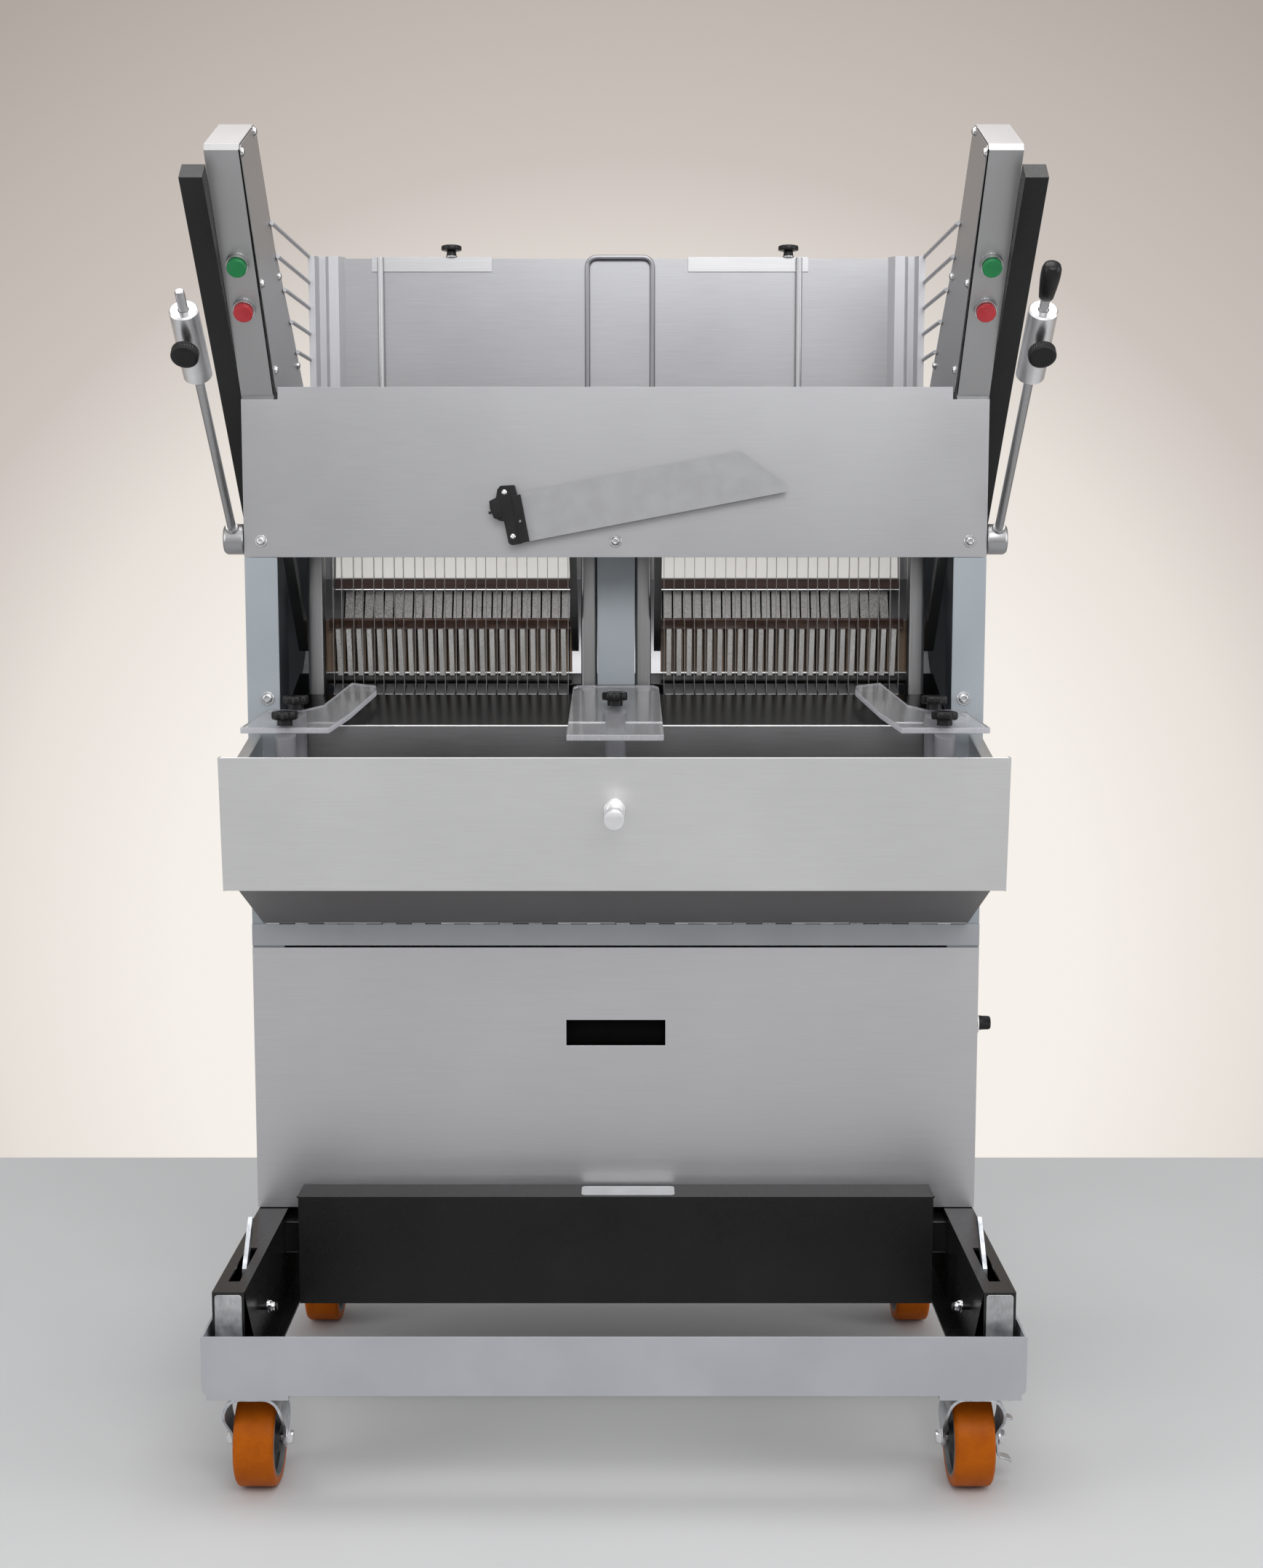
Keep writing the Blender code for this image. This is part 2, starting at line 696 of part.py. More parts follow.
def wheel_frame():
    top = RAIL_BOTTOM + RAIL_HEIGHT
    inner_half = RAIL_HALF_WIDTH - FRAME_SHEET
    inner_depth = RAIL_HALF_DEPTH - FRAME_SHEET
    outline = rail_outline(RAIL_HALF_WIDTH, RAIL_BOTTOM, top, RAIL_CORNER)
    body = extruded(outline, "XZ", -RAIL_HALF_DEPTH, RAIL_HALF_DEPTH)
    hollow = rail_outline(
        inner_half, RAIL_BOTTOM + FRAME_SHEET, top + OVERRUN, RAIL_CORNER - FRAME_SHEET
    )
    clear_x = RAIL_HALF_WIDTH - RAIL_SIDE_FLANGE
    clear_y = RAIL_HALF_DEPTH - RAIL_END_FLANGE
    through = box(
        (-clear_x, -clear_y, RAIL_BOTTOM - OVERRUN), (clear_x, clear_y, top + OVERRUN)
    )
    body = cut(body, extruded(hollow, "XZ", -inner_depth, inner_depth), through)
    for side in SIDES.values():
        for end in (-1, 1):
            front = end * CASTER_Y - CASTER_PLATE / 2
            plate = side_box(
                side,
                CASTER_X - CASTER_PLATE / 2,
                CASTER_X + CASTER_PLATE / 2,
                front,
                front + CASTER_PLATE,
                RAIL_BOTTOM - CASTER_PLATE_THICK,
                RAIL_BOTTOM + FRAME_SHEET / 2,
            )
            centre = (side * CASTER_X, end * CASTER_Y)
            race = rod(
                (*centre, RAIL_BOTTOM - CASTER_PLATE_THICK + WELD),
                (*centre, RACE_BOTTOM),
                RACE_RADIUS,
            )
            body = joined(body, plate, race)
    finished("wheel_frame", body, RAIL_PAINT)


# Casters
def fork(name, side, end, trail, braked):
    """A fork with its axle, under one corner of the wheel frame."""
    swivel_y = end * CASTER_Y
    wheel_y = swivel_y + trail
    centre_x = side * CASTER_X
    inner = TREAD_WIDTH / 2 + FORK_GAP
    outer = inner + FORK_SHEET
    top = RACE_BOTTOM - SEAT
    crown_bottom = WHEEL_RADIUS * 2 + FORK_GAP / 2
    foot = arc((wheel_y, WHEEL_RADIUS), FORK_FOOT, 180, 360, 6)
    shoulders = [(swivel_y + FORK_WIDTH / 2, crown_bottom), (swivel_y + FORK_WIDTH / 2, top)]
    shoulders += [(swivel_y - FORK_WIDTH / 2, top), (swivel_y - FORK_WIDTH / 2, crown_bottom)]
    body = extruded(foot + shoulders, "YZ", centre_x - outer, centre_x + outer)
    reach_y = FORK_WIDTH / 2 + abs(trail) + OVERRUN
    gap = box(
        (centre_x - inner, swivel_y - reach_y, WHEEL_RADIUS - FORK_FOOT - OVERRUN),
        (centre_x + inner, swivel_y + reach_y, crown_bottom),
    )
    body = cut(body, gap)
    reach = outer + WASHER_HEIGHT + NUT_HEIGHT
    axle = [(centre_x + edge * reach, wheel_y, WHEEL_RADIUS) for edge in (-1, 1)]
    body = joined(body, rod(axle[0], axle[1], AXLE_RADIUS, SMALL_SIDES))
    for edge in (-1, 1):
        free = braked and edge == side
        near = outer + WASHER_HEIGHT if free else outer - WELD
        nut_start = (centre_x + edge * near, wheel_y, WHEEL_RADIUS)
        nut_end = (centre_x + edge * (reach - WELD), wheel_y, WHEEL_RADIUS)
        body = joined(body, rod(nut_start, nut_end, NUT_RADIUS, 6))
    return finished(name, body, ZINC, (centre_x, swivel_y, top))


def wheel(name, side, end, trail, parent):
    half = TREAD_WIDTH / 2
    bore = AXLE_RADIUS + RUNNING
    flank = half - HUB_RECESS
    boss = half + HUB_BOSS_PROUD
    rim_in = [(HUB_RADIUS, half), (HUB_RADIUS, flank), (HUB_BOSS, flank), (HUB_BOSS, boss)]
    half_step = math.pi / WHEEL_SIDES
    rolling = WHEEL_RADIUS / math.cos(half_step)
    tread = [(rolling, half - TREAD_CORNER), (rolling - TREAD_CORNER, half)]
    upper = [*tread, *rim_in, (bore, boss)]
    lower = [(radius, -height) for radius, height in reversed(upper)]
    centre = (side * CASTER_X, end * CASTER_Y + trail, WHEEL_RADIUS)
    body = turned(upper + lower, (0, 0, 0), (1, 0, 0), steps=WHEEL_SIDES, closed=True)
    level = Matrix.Translation(centre) @ Matrix.Rotation(half_step, 4, "X")
    finished(name, moved(body, level), TYRE_ORANGE, centre, parent)


def brake_pedal(parent):
    outer = CASTER_X + TREAD_WIDTH / 2 + FORK_GAP + FORK_SHEET
    start = outer + SEAT
    end = start + PEDAL_SHEET
    centre_y = -CASTER_Y + FRONT_TRAIL
    half = PEDAL_WIDTH / 2
    low = WHEEL_RADIUS - PEDAL_HALF_LENGTH
    high = WHEEL_RADIUS + PEDAL_HALF_LENGTH
    body = box((start, centre_y - half, low), (end, centre_y + half, high))
    for tab in (low, high - PEDAL_SHEET):
        body = joined(
            body,
            box((start, centre_y - half, tab), (end + PEDAL_TAB, centre_y + half, tab + PEDAL_SHEET)),
        )
    centre = (start - OVERRUN, centre_y, WHEEL_RADIUS)
    far = (end + OVERRUN, centre_y, WHEEL_RADIUS)
    body = cut(body, rod(centre, far, AXLE_RADIUS + RUNNING, SMALL_SIDES))
    finished("brake_pedal", body, ZINC, (end, centre_y, WHEEL_RADIUS), parent)


def casters():
    for side_name, side in SIDES.items():
        for end_name, end, trail in (("front", -1, FRONT_TRAIL), ("rear", 1, REAR_TRAIL)):
            label = f"{end_name}_{side_name}"
            braked = label == "front_right"
            holder = fork(f"caster_fork_{label}", side, end, trail, braked)
            wheel(f"wheel_{label}", side, end, trail, holder)
            if braked:
                brake_pedal(holder)


# Base with its two channels, the cross box and the pins of the foot levers
def channel(side):
    inner = CHANNEL_INNER
    outline = [
        (CHANNEL_OUTER, CHANNEL_BOTTOM),
        (CHANNEL_OUTER, CHANNEL_TOP),
        (inner, CHANNEL_TOP),
        (inner, CHANNEL_BOTTOM + CHANNEL_WALL),
        (inner - CHANNEL_FOOT, CHANNEL_BOTTOM + CHANNEL_WALL),
        (inner - CHANNEL_FOOT, CHANNEL_BOTTOM),
        (inner + CHANNEL_WALL, CHANNEL_BOTTOM),
        (inner + CHANNEL_WALL, CHANNEL_TOP - CHANNEL_WALL),
        (CHANNEL_OUTER - CHANNEL_WALL, CHANNEL_TOP - CHANNEL_WALL),
        (CHANNEL_OUTER - CHANNEL_WALL, CHANNEL_BOTTOM),
    ]
    if side < 0:
        outline = mirrored(outline)
    body = extruded(outline, "XZ", -CHANNEL_HALF_DEPTH, CHANNEL_HALF_DEPTH)
    middle = CHANNEL_OUTER - CHANNEL_WIDTH / 2
    slot = side_box(
        side,
        middle - SLOT_WIDTH / 2,
        middle + SLOT_WIDTH / 2,
        SLOT_FRONT,
        SLOT_FRONT + SLOT_LENGTH,
        CHANNEL_TOP - OVERRUN,
        CHANNEL_TOP + OVERRUN,
    )
    pin = rod(
        (side * (inner - FOOT_PIN_PROUD), FOOT_PIVOT_Y, FOOT_PIVOT_Z),
        (side * (CHANNEL_OUTER - WELD), FOOT_PIVOT_Y, FOOT_PIVOT_Z),
        FOOT_PIN_RADIUS,
        SMALL_SIDES,
    )
    body = joined(cut(body, slot), pin)
    for front in (-CHANNEL_HALF_DEPTH - WELD, CHANNEL_HALF_DEPTH + WELD - PLUG_LENGTH):
        plug = side_box(
            side,
            inner + WELD,
            CHANNEL_OUTER - WELD,
            front,
            front + PLUG_LENGTH,
            CHANNEL_BOTTOM + WELD,
            CHANNEL_TOP - WELD,
        )
        body = joined(body, plug)
    return body


def box_outline():
    """The cross box from the side: higher in front of the lower panel than behind it."""
    step_y = PANEL_FRONT - SEAT
    step_z = CHANNEL_TOP - SHEET
    return [
        (BOX_FRONT, BOX_BOTTOM),
        (BOX_BACK, BOX_BOTTOM),
        (BOX_BACK, step_z),
        (step_y, step_z),
        (step_y, BOX_TOP),
        (BOX_FRONT, BOX_TOP),
    ]


def base_frame():
    body = extruded(box_outline(), "YZ", -BOX_HALF_WIDTH, BOX_HALF_WIDTH)
    hollow = inset(box_outline(), BOX_WALL)
    hollow[0] = (hollow[0][0], BOX_BOTTOM - OVERRUN)
    hollow[1] = (hollow[1][0], BOX_BOTTOM - OVERRUN)
    inner = BOX_HALF_WIDTH - BOX_WALL
    body = cut(body, extruded(hollow, "YZ", -inner, inner))
    for side in SIDES.values():
        bracket = side_box(
            side,
            BOX_HALF_WIDTH - BOX_WALL / 2,
            CHANNEL_INNER + CHANNEL_WALL / 2,
            BRACKET_FRONT,
            BRACKET_FRONT + BRACKET_LENGTH,
            BRACKET_BOTTOM,
            BRACKET_BOTTOM + BRACKET_HEIGHT,
        )
        body = joined(body, bracket, channel(side))
    finished("base_frame", body, BLACK_PAINT)


def foot_lever(name, side):
    pivot = (FOOT_PIVOT_Y, FOOT_PIVOT_Z)
    bend = (FOOT_PIVOT_Y + FOOT_BEND_REACH, FOOT_PIVOT_Z + FOOT_BEND_RISE)
    tip = (FOOT_PIVOT_Y + FOOT_TIP_REACH, FOOT_PIVOT_Z + FOOT_TIP_RISE)
    middle = CHANNEL_OUTER - CHANNEL_WIDTH / 2
    near = middle - FOOT_LEVER_THICK / 2
    far = middle + FOOT_LEVER_THICK / 2
    body = side_slab(side, strip([pivot, bend, tip], FOOT_LEVER_WIDTH), near, far)
    eye = rod(
        (side * (near - WELD), *pivot),
        (side * (far + WELD), *pivot),
        FOOT_PIN_RADIUS + RUNNING + FRAME_SHEET,
        SMALL_SIDES,
    )
    bore = rod(
        (side * (near - OVERRUN), *pivot),
        (side * (far + OVERRUN), *pivot),
        FOOT_PIN_RADIUS + RUNNING,
        SMALL_SIDES,
    )
    body = cut(joined(body, eye), bore)
    finished(name, body, ZINC, (side * middle, *pivot))


# Side frames with the crankshaft's bearings and the lower guides
def side_frame(name, side):
    outer = CABINET_HALF
    wall = outer - FRAME_SHEET
    back = CABINET_DEPTH
    outline = [
        (COLUMN_INNER, 0),
        (outer, 0),
        (outer, back),
        (COLUMN_INNER, back),
        (COLUMN_INNER, back - FRAME_SHEET),
        (wall, back - FRAME_SHEET),
        (wall, FRAME_SHEET),
        (COLUMN_INNER, FRAME_SHEET),
    ]
    if side < 0:
        outline = mirrored(outline)
    body = extruded(outline, "XY", SIDE_FRAME_BOTTOM, HOOD_BOTTOM - SEAT)
    inner = FRAME_HALF_WIDTH + SEAT
    bearing = side_box(
        side,
        inner,
        wall + WELD,
        CRANK_Y - BEARING_HALF,
        CRANK_Y + BEARING_HALF,
        CRANK_Z - BEARING_HEIGHT,
        CRANK_Z + BEARING_HALF,
    )
    guide = frame_guide(side, LOWER_GUIDE_BOTTOM, wall + WELD)
    bore = rod(
        (side * (inner - OVERRUN), CRANK_Y, CRANK_Z),
        (side * (wall - WELD), CRANK_Y, CRANK_Z),
        CRANK_RADIUS + RUNNING,
    )
    finished(name, cut(joined(body, bearing, guide), bore), BLUE_GREY_PAINT)


def frame_guide(side, bottom, outer):
    """The block that the ends of both blade frames run on."""
    return side_box(
        side,
        FRAME_HALF_WIDTH + SEAT,
        outer,
        FRAME_FRONT_Y - WELD,
        FRAMES_BACK + WELD,
        bottom,
        bottom + GUIDE_HEIGHT,
    )


# Panels, hinge rail and switch
def lower_front_panel():
    bottom = CHANNEL_TOP + PANEL_LIFT
    body = box((-CABINET_HALF, PANEL_FRONT, bottom), (CABINET_HALF, -SEAT, PANEL_TOP))
    pull_top = PULL_BOTTOM + PULL_HEIGHT
    pan = box(
        (-PULL_HALF_WIDTH - SHEET, PANEL_FRONT + WELD, PULL_BOTTOM - SHEET),
        (PULL_HALF_WIDTH + SHEET, PULL_DEPTH, pull_top + SHEET),
    )
    pocket = box(
        (-PULL_HALF_WIDTH, PANEL_FRONT - OVERRUN, PULL_BOTTOM),
        (PULL_HALF_WIDTH, PULL_DEPTH - SHEET, pull_top),
    )
    finished("lower_front_panel", cut(joined(body, pan), pocket), STAINLESS)


def knuckle_span(index):
    """Left and right end of one knuckle of the tray hinge."""
    pitch = HINGE_HALF_WIDTH * 2 / (KNUCKLE_PAIRS * 2)
    start = -HINGE_HALF_WIDTH + index * pitch
    return start + KNUCKLE_GAP / 2, start + pitch - KNUCKLE_GAP / 2


def knuckles(first, bore_radius):
    """Every second knuckle of the tray hinge, with the tab that joins it to its leaf."""
    found = []
    for index in range(first, KNUCKLE_PAIRS * 2, 2):
        start, end = knuckle_span(index)
        barrel = rod(
            (start, HINGE_AXIS_Y, HINGE_AXIS_Z),
            (end, HINGE_AXIS_Y, HINGE_AXIS_Z),
            KNUCKLE_RADIUS,
            SMALL_SIDES,
        )
        if bore_radius:
            barrel = cut(
                barrel,
                rod(
                    (start - OVERRUN, HINGE_AXIS_Y, HINGE_AXIS_Z),
                    (end + OVERRUN, HINGE_AXIS_Y, HINGE_AXIS_Z),
                    bore_radius,
                    SMALL_SIDES,
                ),
            )
        found.append(barrel)
    return found


def hinge_rail():
    body = box(
        (-CABINET_HALF, PANEL_FRONT, HINGE_RAIL_BOTTOM), (CABINET_HALF, -SEAT, HINGE_RAIL_TOP)
    )
    tabs = []
    for index in range(0, KNUCKLE_PAIRS * 2, 2):
        start, end = knuckle_span(index)
        tabs.append(
            box(
                (start + WELD, PANEL_FRONT, HINGE_RAIL_TOP - WELD),
                (end - WELD, -SEAT - WELD, HINGE_AXIS_Z),
            )
        )
    pin = rod(
        (-HINGE_HALF_WIDTH + WELD, HINGE_AXIS_Y, HINGE_AXIS_Z),
        (HINGE_HALF_WIDTH + SHEET, HINGE_AXIS_Y, HINGE_AXIS_Z),
        HINGE_PIN_RADIUS,
        SMALL_SIDES,
    )
    body = joined(body, gathered(tabs), gathered(knuckles(0, 0)), pin)
    finished("hinge_rail", body, BLUE_GREY_PAINT)


def rear_panel():
    front = CABINET_DEPTH + SEAT
    half = CABINET_HALF - FRAME_SHEET
    body = box((-half, front, CHANNEL_TOP + PANEL_LIFT), (half, front + SHEET, REAR_PANEL_TOP))
    finished("rear_panel", body, BLUE_GREY_PAINT)


def switch_knob():
    start = (OUTSIDE, SWITCH_Y, SWITCH_Z)
    end = (OUTSIDE + SWITCH_LENGTH, SWITCH_Y, SWITCH_Z)
    body = rod(start, end, SWITCH_RADIUS)
    grip = box(
        (OUTSIDE + SWITCH_LENGTH - WELD, SWITCH_Y - SHEET, SWITCH_Z - SWITCH_RADIUS / 2),
        (OUTSIDE + SWITCH_LENGTH + SHEET, SWITCH_Y + SHEET, SWITCH_Z + SWITCH_RADIUS / 2),
    )
    finished("switch_knob", joined(body, grip), BLACK_PLASTIC, start)


# Slicing table with its apron, blade slots and guard posts
def post_places():
    places = [(0, CENTRE_KNOB_Y)]
    for side in SIDES.values():
        places.append((side * FRONT_KNOB_X, FRONT_KNOB_Y))
        places.append((side * BACK_KNOB_X, BACK_KNOB_Y))
    return places


def below_guards():
    """A block that fills everything above the lower face of the clear guards, to trim the posts."""
    front = FRONT_KNOB_Y - POST_RADIUS - OVERRUN
    back = TABLE_BACK
    drop = guard_drop() + SEAT
    outline = [
        (front, guard_top(front) - drop),
        (back, guard_top(back) - drop),
        (back, HOOD_BOTTOM),
        (front, HOOD_BOTTOM),
    ]
    return extruded(outline, "YZ", -CABINET_HALF, CABINET_HALF)


def table():
    outline = strip(
        [(SHEET / 2, APRON_BOTTOM), (SHEET / 2, TABLE_FRONT_Z), (TABLE_BACK, table_z(TABLE_BACK))],
        SHEET,
    )
    body = extruded(outline, "YZ", -BETWEEN_COLUMNS, BETWEEN_COLUMNS)
    slots = [
        side_box(
            side,
            FRAME_INNER_START - WELD,
            FRAME_HALF_WIDTH + RUNNING,
            FRAME_FRONT_Y - FORK_GAP / 2,
            FRAMES_BACK + FORK_GAP / 2,
            TABLE_FRONT_Z - OVERRUN,
            HOOD_BOTTOM,
        )
        for side in SIDES.values()
    ]
    body = cut(body, gathered(slots))
    standing = []
    for x, y in post_places():
        post = rod((x, y, POST_BOTTOM), (x, y, guard_top(y)), POST_RADIUS, 16)
        arm = box(
            (x - POST_ARM / 2, min(y, 0), POST_BOTTOM + WELD),
            (x + POST_ARM / 2, SHEET / 2, POST_BOTTOM + POST_ARM),
        )
        standing.append(cut(joined(post, arm), below_guards()))
    finished("table", joined(body, *standing), DARK_STAINLESS)


def guard_sheet(name, outline):
    """A clear guard: its outline seen from above, leaning with the table, bored for the knob screws."""
    top = GUARD_LINE_Z
    body = extruded(outline, "XY", top - guard_drop(), top)
    lean = Matrix.Identity(4)
    lean[2][1] = TABLE_SLOPE
    finished(name, moved(body, lean), CLEAR_PLASTIC)


# Outline of the left guard: shares of the half cabinet across, and of the table's depth to the back
SIDE_GUARD_ACROSS_SHARES = (1.0, 0.763, 0.717, 0.664, 0.670, 0.739, 0.798, 0.845, 0.945)
SIDE_GUARD_BACK_SHARES = (-0.334, -0.334, -0.069, 0.360, 0.453, 0.507, 0.083, 0.0, -0.0086)
CENTRE_GUARD_ACROSS_SHARES = (0.129, 0.129, 0.119, 0.106)
CENTRE_GUARD_BACK_SHARES = (-0.462, -0.440, 0.420, 0.457)


def clear_guards():
    for side_name, side in SIDES.items():
        places = zip(SIDE_GUARD_ACROSS_SHARES, SIDE_GUARD_BACK_SHARES, strict=True)
        outline = [(-across * CABINET_HALF, back * TABLE_BACK) for across, back in places]
        if side > 0:
            outline = mirrored(outline)
        guard_sheet(f"clear_guard_{side_name}", outline)
    places = zip(CENTRE_GUARD_ACROSS_SHARES, CENTRE_GUARD_BACK_SHARES, strict=True)
    right = [(across * CABINET_HALF, back * TABLE_BACK) for across, back in places]
    guard_sheet("clear_guard_centre", right + mirrored(right))


def guard_knob(name, x, y, high_y):
    """A lobed knob upright over its post. It meets its leaning guard at high_y."""
    base = guard_top(high_y) + SEAT
    cap_base = base + KNOB_STEM
    stem = rod((x, y, base), (x, y, cap_base + WELD), KNOB_STEM_RADIUS, 16)
    steps = KNOB_LOBES * 6
    outline = []
    for i in range(steps):
        angle = math.tau * i / steps
        reach = KNOB_RADIUS - KNOB_LOBE_DEPTH * (1 + math.cos(KNOB_LOBES * angle)) / 2
        outline.append((x + reach * math.cos(angle), y + reach * math.sin(angle)))
    cap = extruded(outline, "XY", cap_base, cap_base + KNOB_CAP)
    finished(name, joined(cap, stem), BLACK_PLASTIC, (x, y, base))


def guard_knobs():
    guard_knob("guard_knob_centre", 0, CENTRE_KNOB_Y, CENTRE_KNOB_Y + KNOB_STEM_RADIUS)
    front_high = FRONT_KNOB_Y + KNOB_STEM_RADIUS
    for side_name, side in SIDES.items():
        guard_knob(f"guard_knob_front_{side_name}", side * FRONT_KNOB_X, FRONT_KNOB_Y, front_high)
        guard_knob(f"guard_knob_back_{side_name}", side * BACK_KNOB_X, BACK_KNOB_Y, 0)


# Centre column between the two bays
def centre_column():
    foot = table_z(COLUMN_FRONT + COLUMN_DEPTH) + SHEET
    body = box(
        (-COLUMN_HALF, COLUMN_FRONT, foot), (COLUMN_HALF, COLUMN_FRONT + COLUMN_DEPTH, COLUMN_TOP)
    )
    bracket = box(
        (-COLUMN_HALF, SHEET + SEAT, COLUMN_TOP - COLUMN_BRACKET),
        (COLUMN_HALF, COLUMN_FRONT + WELD, COLUMN_TOP - WELD),
    )
    finished("centre_column", joined(body, bracket), BLUE_GREY_PAINT)


# Crumb tray
def panel_y(z):
    """The outer face of the tray's front panel at a height."""
    share = (z - TRAY_BOTTOM_Z) / (TRAY_TOP_Z - TRAY_BOTTOM_Z)
    return TRAY_BOTTOM_Y + (TRAY_TOP_Y - TRAY_BOTTOM_Y) * share


def cheek_outline():
    leaf_y = HINGE_AXIS_Y - KNUCKLE_RADIUS - WELD
    front_low = (TRAY_BOTTOM_Y + TRAY_SHEET, TRAY_BOTTOM_Z)
    shoulder_z = CHEEK_MID_Z - (CHEEK_BACK_Z - CHEEK_MID_Z)
    crown = [
        (panel_y(shoulder_z) + TRAY_SHEET, shoulder_z - (CHEEK_MID_Z - shoulder_z)),
        (CHEEK_MID_Y + (panel_y(shoulder_z) - CHEEK_MID_Y) / 2, shoulder_z + SHEET * 3),
    ]
    floor_back = (leaf_y, HINGE_AXIS_Z - SHEET / 2)
    back_low = (CHEEK_BACK_Y, HINGE_AXIS_Z + KNUCKLE_RADIUS * 3)
    step = (leaf_y, HINGE_AXIS_Z + KNUCKLE_RADIUS * 2)
    back = [(CHEEK_BACK_Y, CHEEK_BACK_Z), back_low, step, floor_back]
    return [front_low, *crown, (CHEEK_MID_Y, CHEEK_MID_Z), *back]


def tray():
    panel_line = [(TRAY_TOP_Y, TRAY_TOP_Z), (TRAY_BOTTOM_Y, TRAY_BOTTOM_Z)]
    shifted = [(y + TRAY_SHEET / 2, z) for y, z in panel_line]
    body = extruded(strip(shifted, TRAY_SHEET), "YZ", -TRAY_HALF_WIDTH, TRAY_HALF_WIDTH)
    fold = [(y + TRAY_RETURN / 2, z) for y, z in panel_line]
    leaf_y = HINGE_AXIS_Y - KNUCKLE_RADIUS - WELD
    floor_line = [(TRAY_BOTTOM_Y + TRAY_SHEET / 2, TRAY_BOTTOM_Z + WELD), (leaf_y, HINGE_AXIS_Z)]
    floor = extruded(strip(floor_line, SHEET), "YZ", -CHEEK_OUTER, CHEEK_OUTER)
    body = joined(body, floor)
    for side in SIDES.values():
        returned = side_slab(
            side, strip(fold, TRAY_RETURN), TRAY_HALF_WIDTH - TRAY_SHEET, TRAY_HALF_WIDTH
        )
        cheek = side_slab(side, cheek_outline(), CHEEK_OUTER - SHEET, CHEEK_OUTER)
        flange_line = [(CHEEK_MID_Y + SHEET, CHEEK_MID_Z), (CHEEK_BACK_Y - SHEET, CHEEK_BACK_Z - WELD)]
        flange = side_slab(
            side, strip(flange_line, SHEET), CHEEK_OUTER - WELD, CHEEK_OUTER + CHEEK_FLANGE
        )
        body = joined(body, returned, cheek, flange)
    tabs = []
    for index in range(1, KNUCKLE_PAIRS * 2, 2):
        start, end = knuckle_span(index)
        low = HINGE_AXIS_Z - SHEET / 2
        tabs.append(
            box(
                (start + WELD, leaf_y - SHEET, low),
                (end - WELD, HINGE_AXIS_Y - HINGE_PIN_RADIUS * 2, low + SHEET),
            )
        )
    barrels = knuckles(1, HINGE_PIN_RADIUS + SEAT)
    body = joined(body, gathered(tabs), gathered(barrels))
    finished("tray", body, STAINLESS, (0, HINGE_AXIS_Y, HINGE_AXIS_Z))


def tray_knob():
    face = (0, panel_y(TRAY_KNOB_Z) - SEAT, TRAY_KNOB_Z)
    lean = Vector((0, TRAY_TOP_Y - TRAY_BOTTOM_Y, TRAY_TOP_Z - TRAY_BOTTOM_Z)).normalized()
    out = Vector((0, -lean.z, lean.y))
    neck = TRAY_KNOB_LENGTH - TRAY_KNOB_HEAD
    profile = [
        (0, TRAY_KNOB_LENGTH),
        (TRAY_KNOB_HEAD_RADIUS - TRAY_KNOB_CHAMFER, TRAY_KNOB_LENGTH),
        (TRAY_KNOB_HEAD_RADIUS, TRAY_KNOB_LENGTH - TRAY_KNOB_CHAMFER),
        (TRAY_KNOB_HEAD_RADIUS, neck),
        (TRAY_KNOB_WAIST_RADIUS, neck - TRAY_KNOB_CHAMFER),
        (TRAY_KNOB_WAIST_RADIUS, TRAY_KNOB_FOOT),
        (TRAY_KNOB_FOOT_RADIUS, TRAY_KNOB_FOOT - TRAY_KNOB_CHAMFER),
        (TRAY_KNOB_FOOT_RADIUS, 0),
        (0, 0),
    ]
    finished("tray_knob", turned(profile, face, out), POLISHED_STEEL, face)


# Hood with both arm casings
def arm_outline():
    """The arm casing from the side, anticlockwise from its foot, with a rounded tip."""
    top_end = Vector((ARM_TOP_Y, ARM_TOP_Z))
    tip = Vector((ARM_TIP_Y, ARM_TIP_Z))
    edge = (top_end - tip).normalized() * ARM_TIP_ROUND
    back_edge = (Vector((ARM_BEND_Y, ARM_BEND_Z)) - top_end).normalized() * ARM_TIP_ROUND
    down_front = Vector((ARM_FACE.y, ARM_FACE.z)) * ARM_TIP_ROUND
    return [
        (0, HOOD_BOTTOM),
        (CABINET_DEPTH, HOOD_BOTTOM),
        (CABINET_DEPTH, ARM_HEEL_Z),
        (ARM_LOW_Y, ARM_LOW_Z),
        (ARM_MID_Y, ARM_MID_Z),
        (ARM_BEND_Y, ARM_BEND_Z),
        tuple(top_end + back_edge),
        tuple(top_end - edge),
        tuple(tip + edge),
        tuple(tip - down_front),
        (ARM_FOOT_Y, ARM_FOOT_Z),
        (0, ARM_FOOT_Z - ARM_FOOT_Y),
    ]


def button_place(side, along, height):
    """A point on a button's axis: along the arm's face, and out from it."""
    foot = Vector((side * (CABINET_HALF - ARM_WIDTH / 2), ARM_FOOT_Y, ARM_FOOT_Z))
    return foot + ARM_FACE * along + ARM_OUT * height


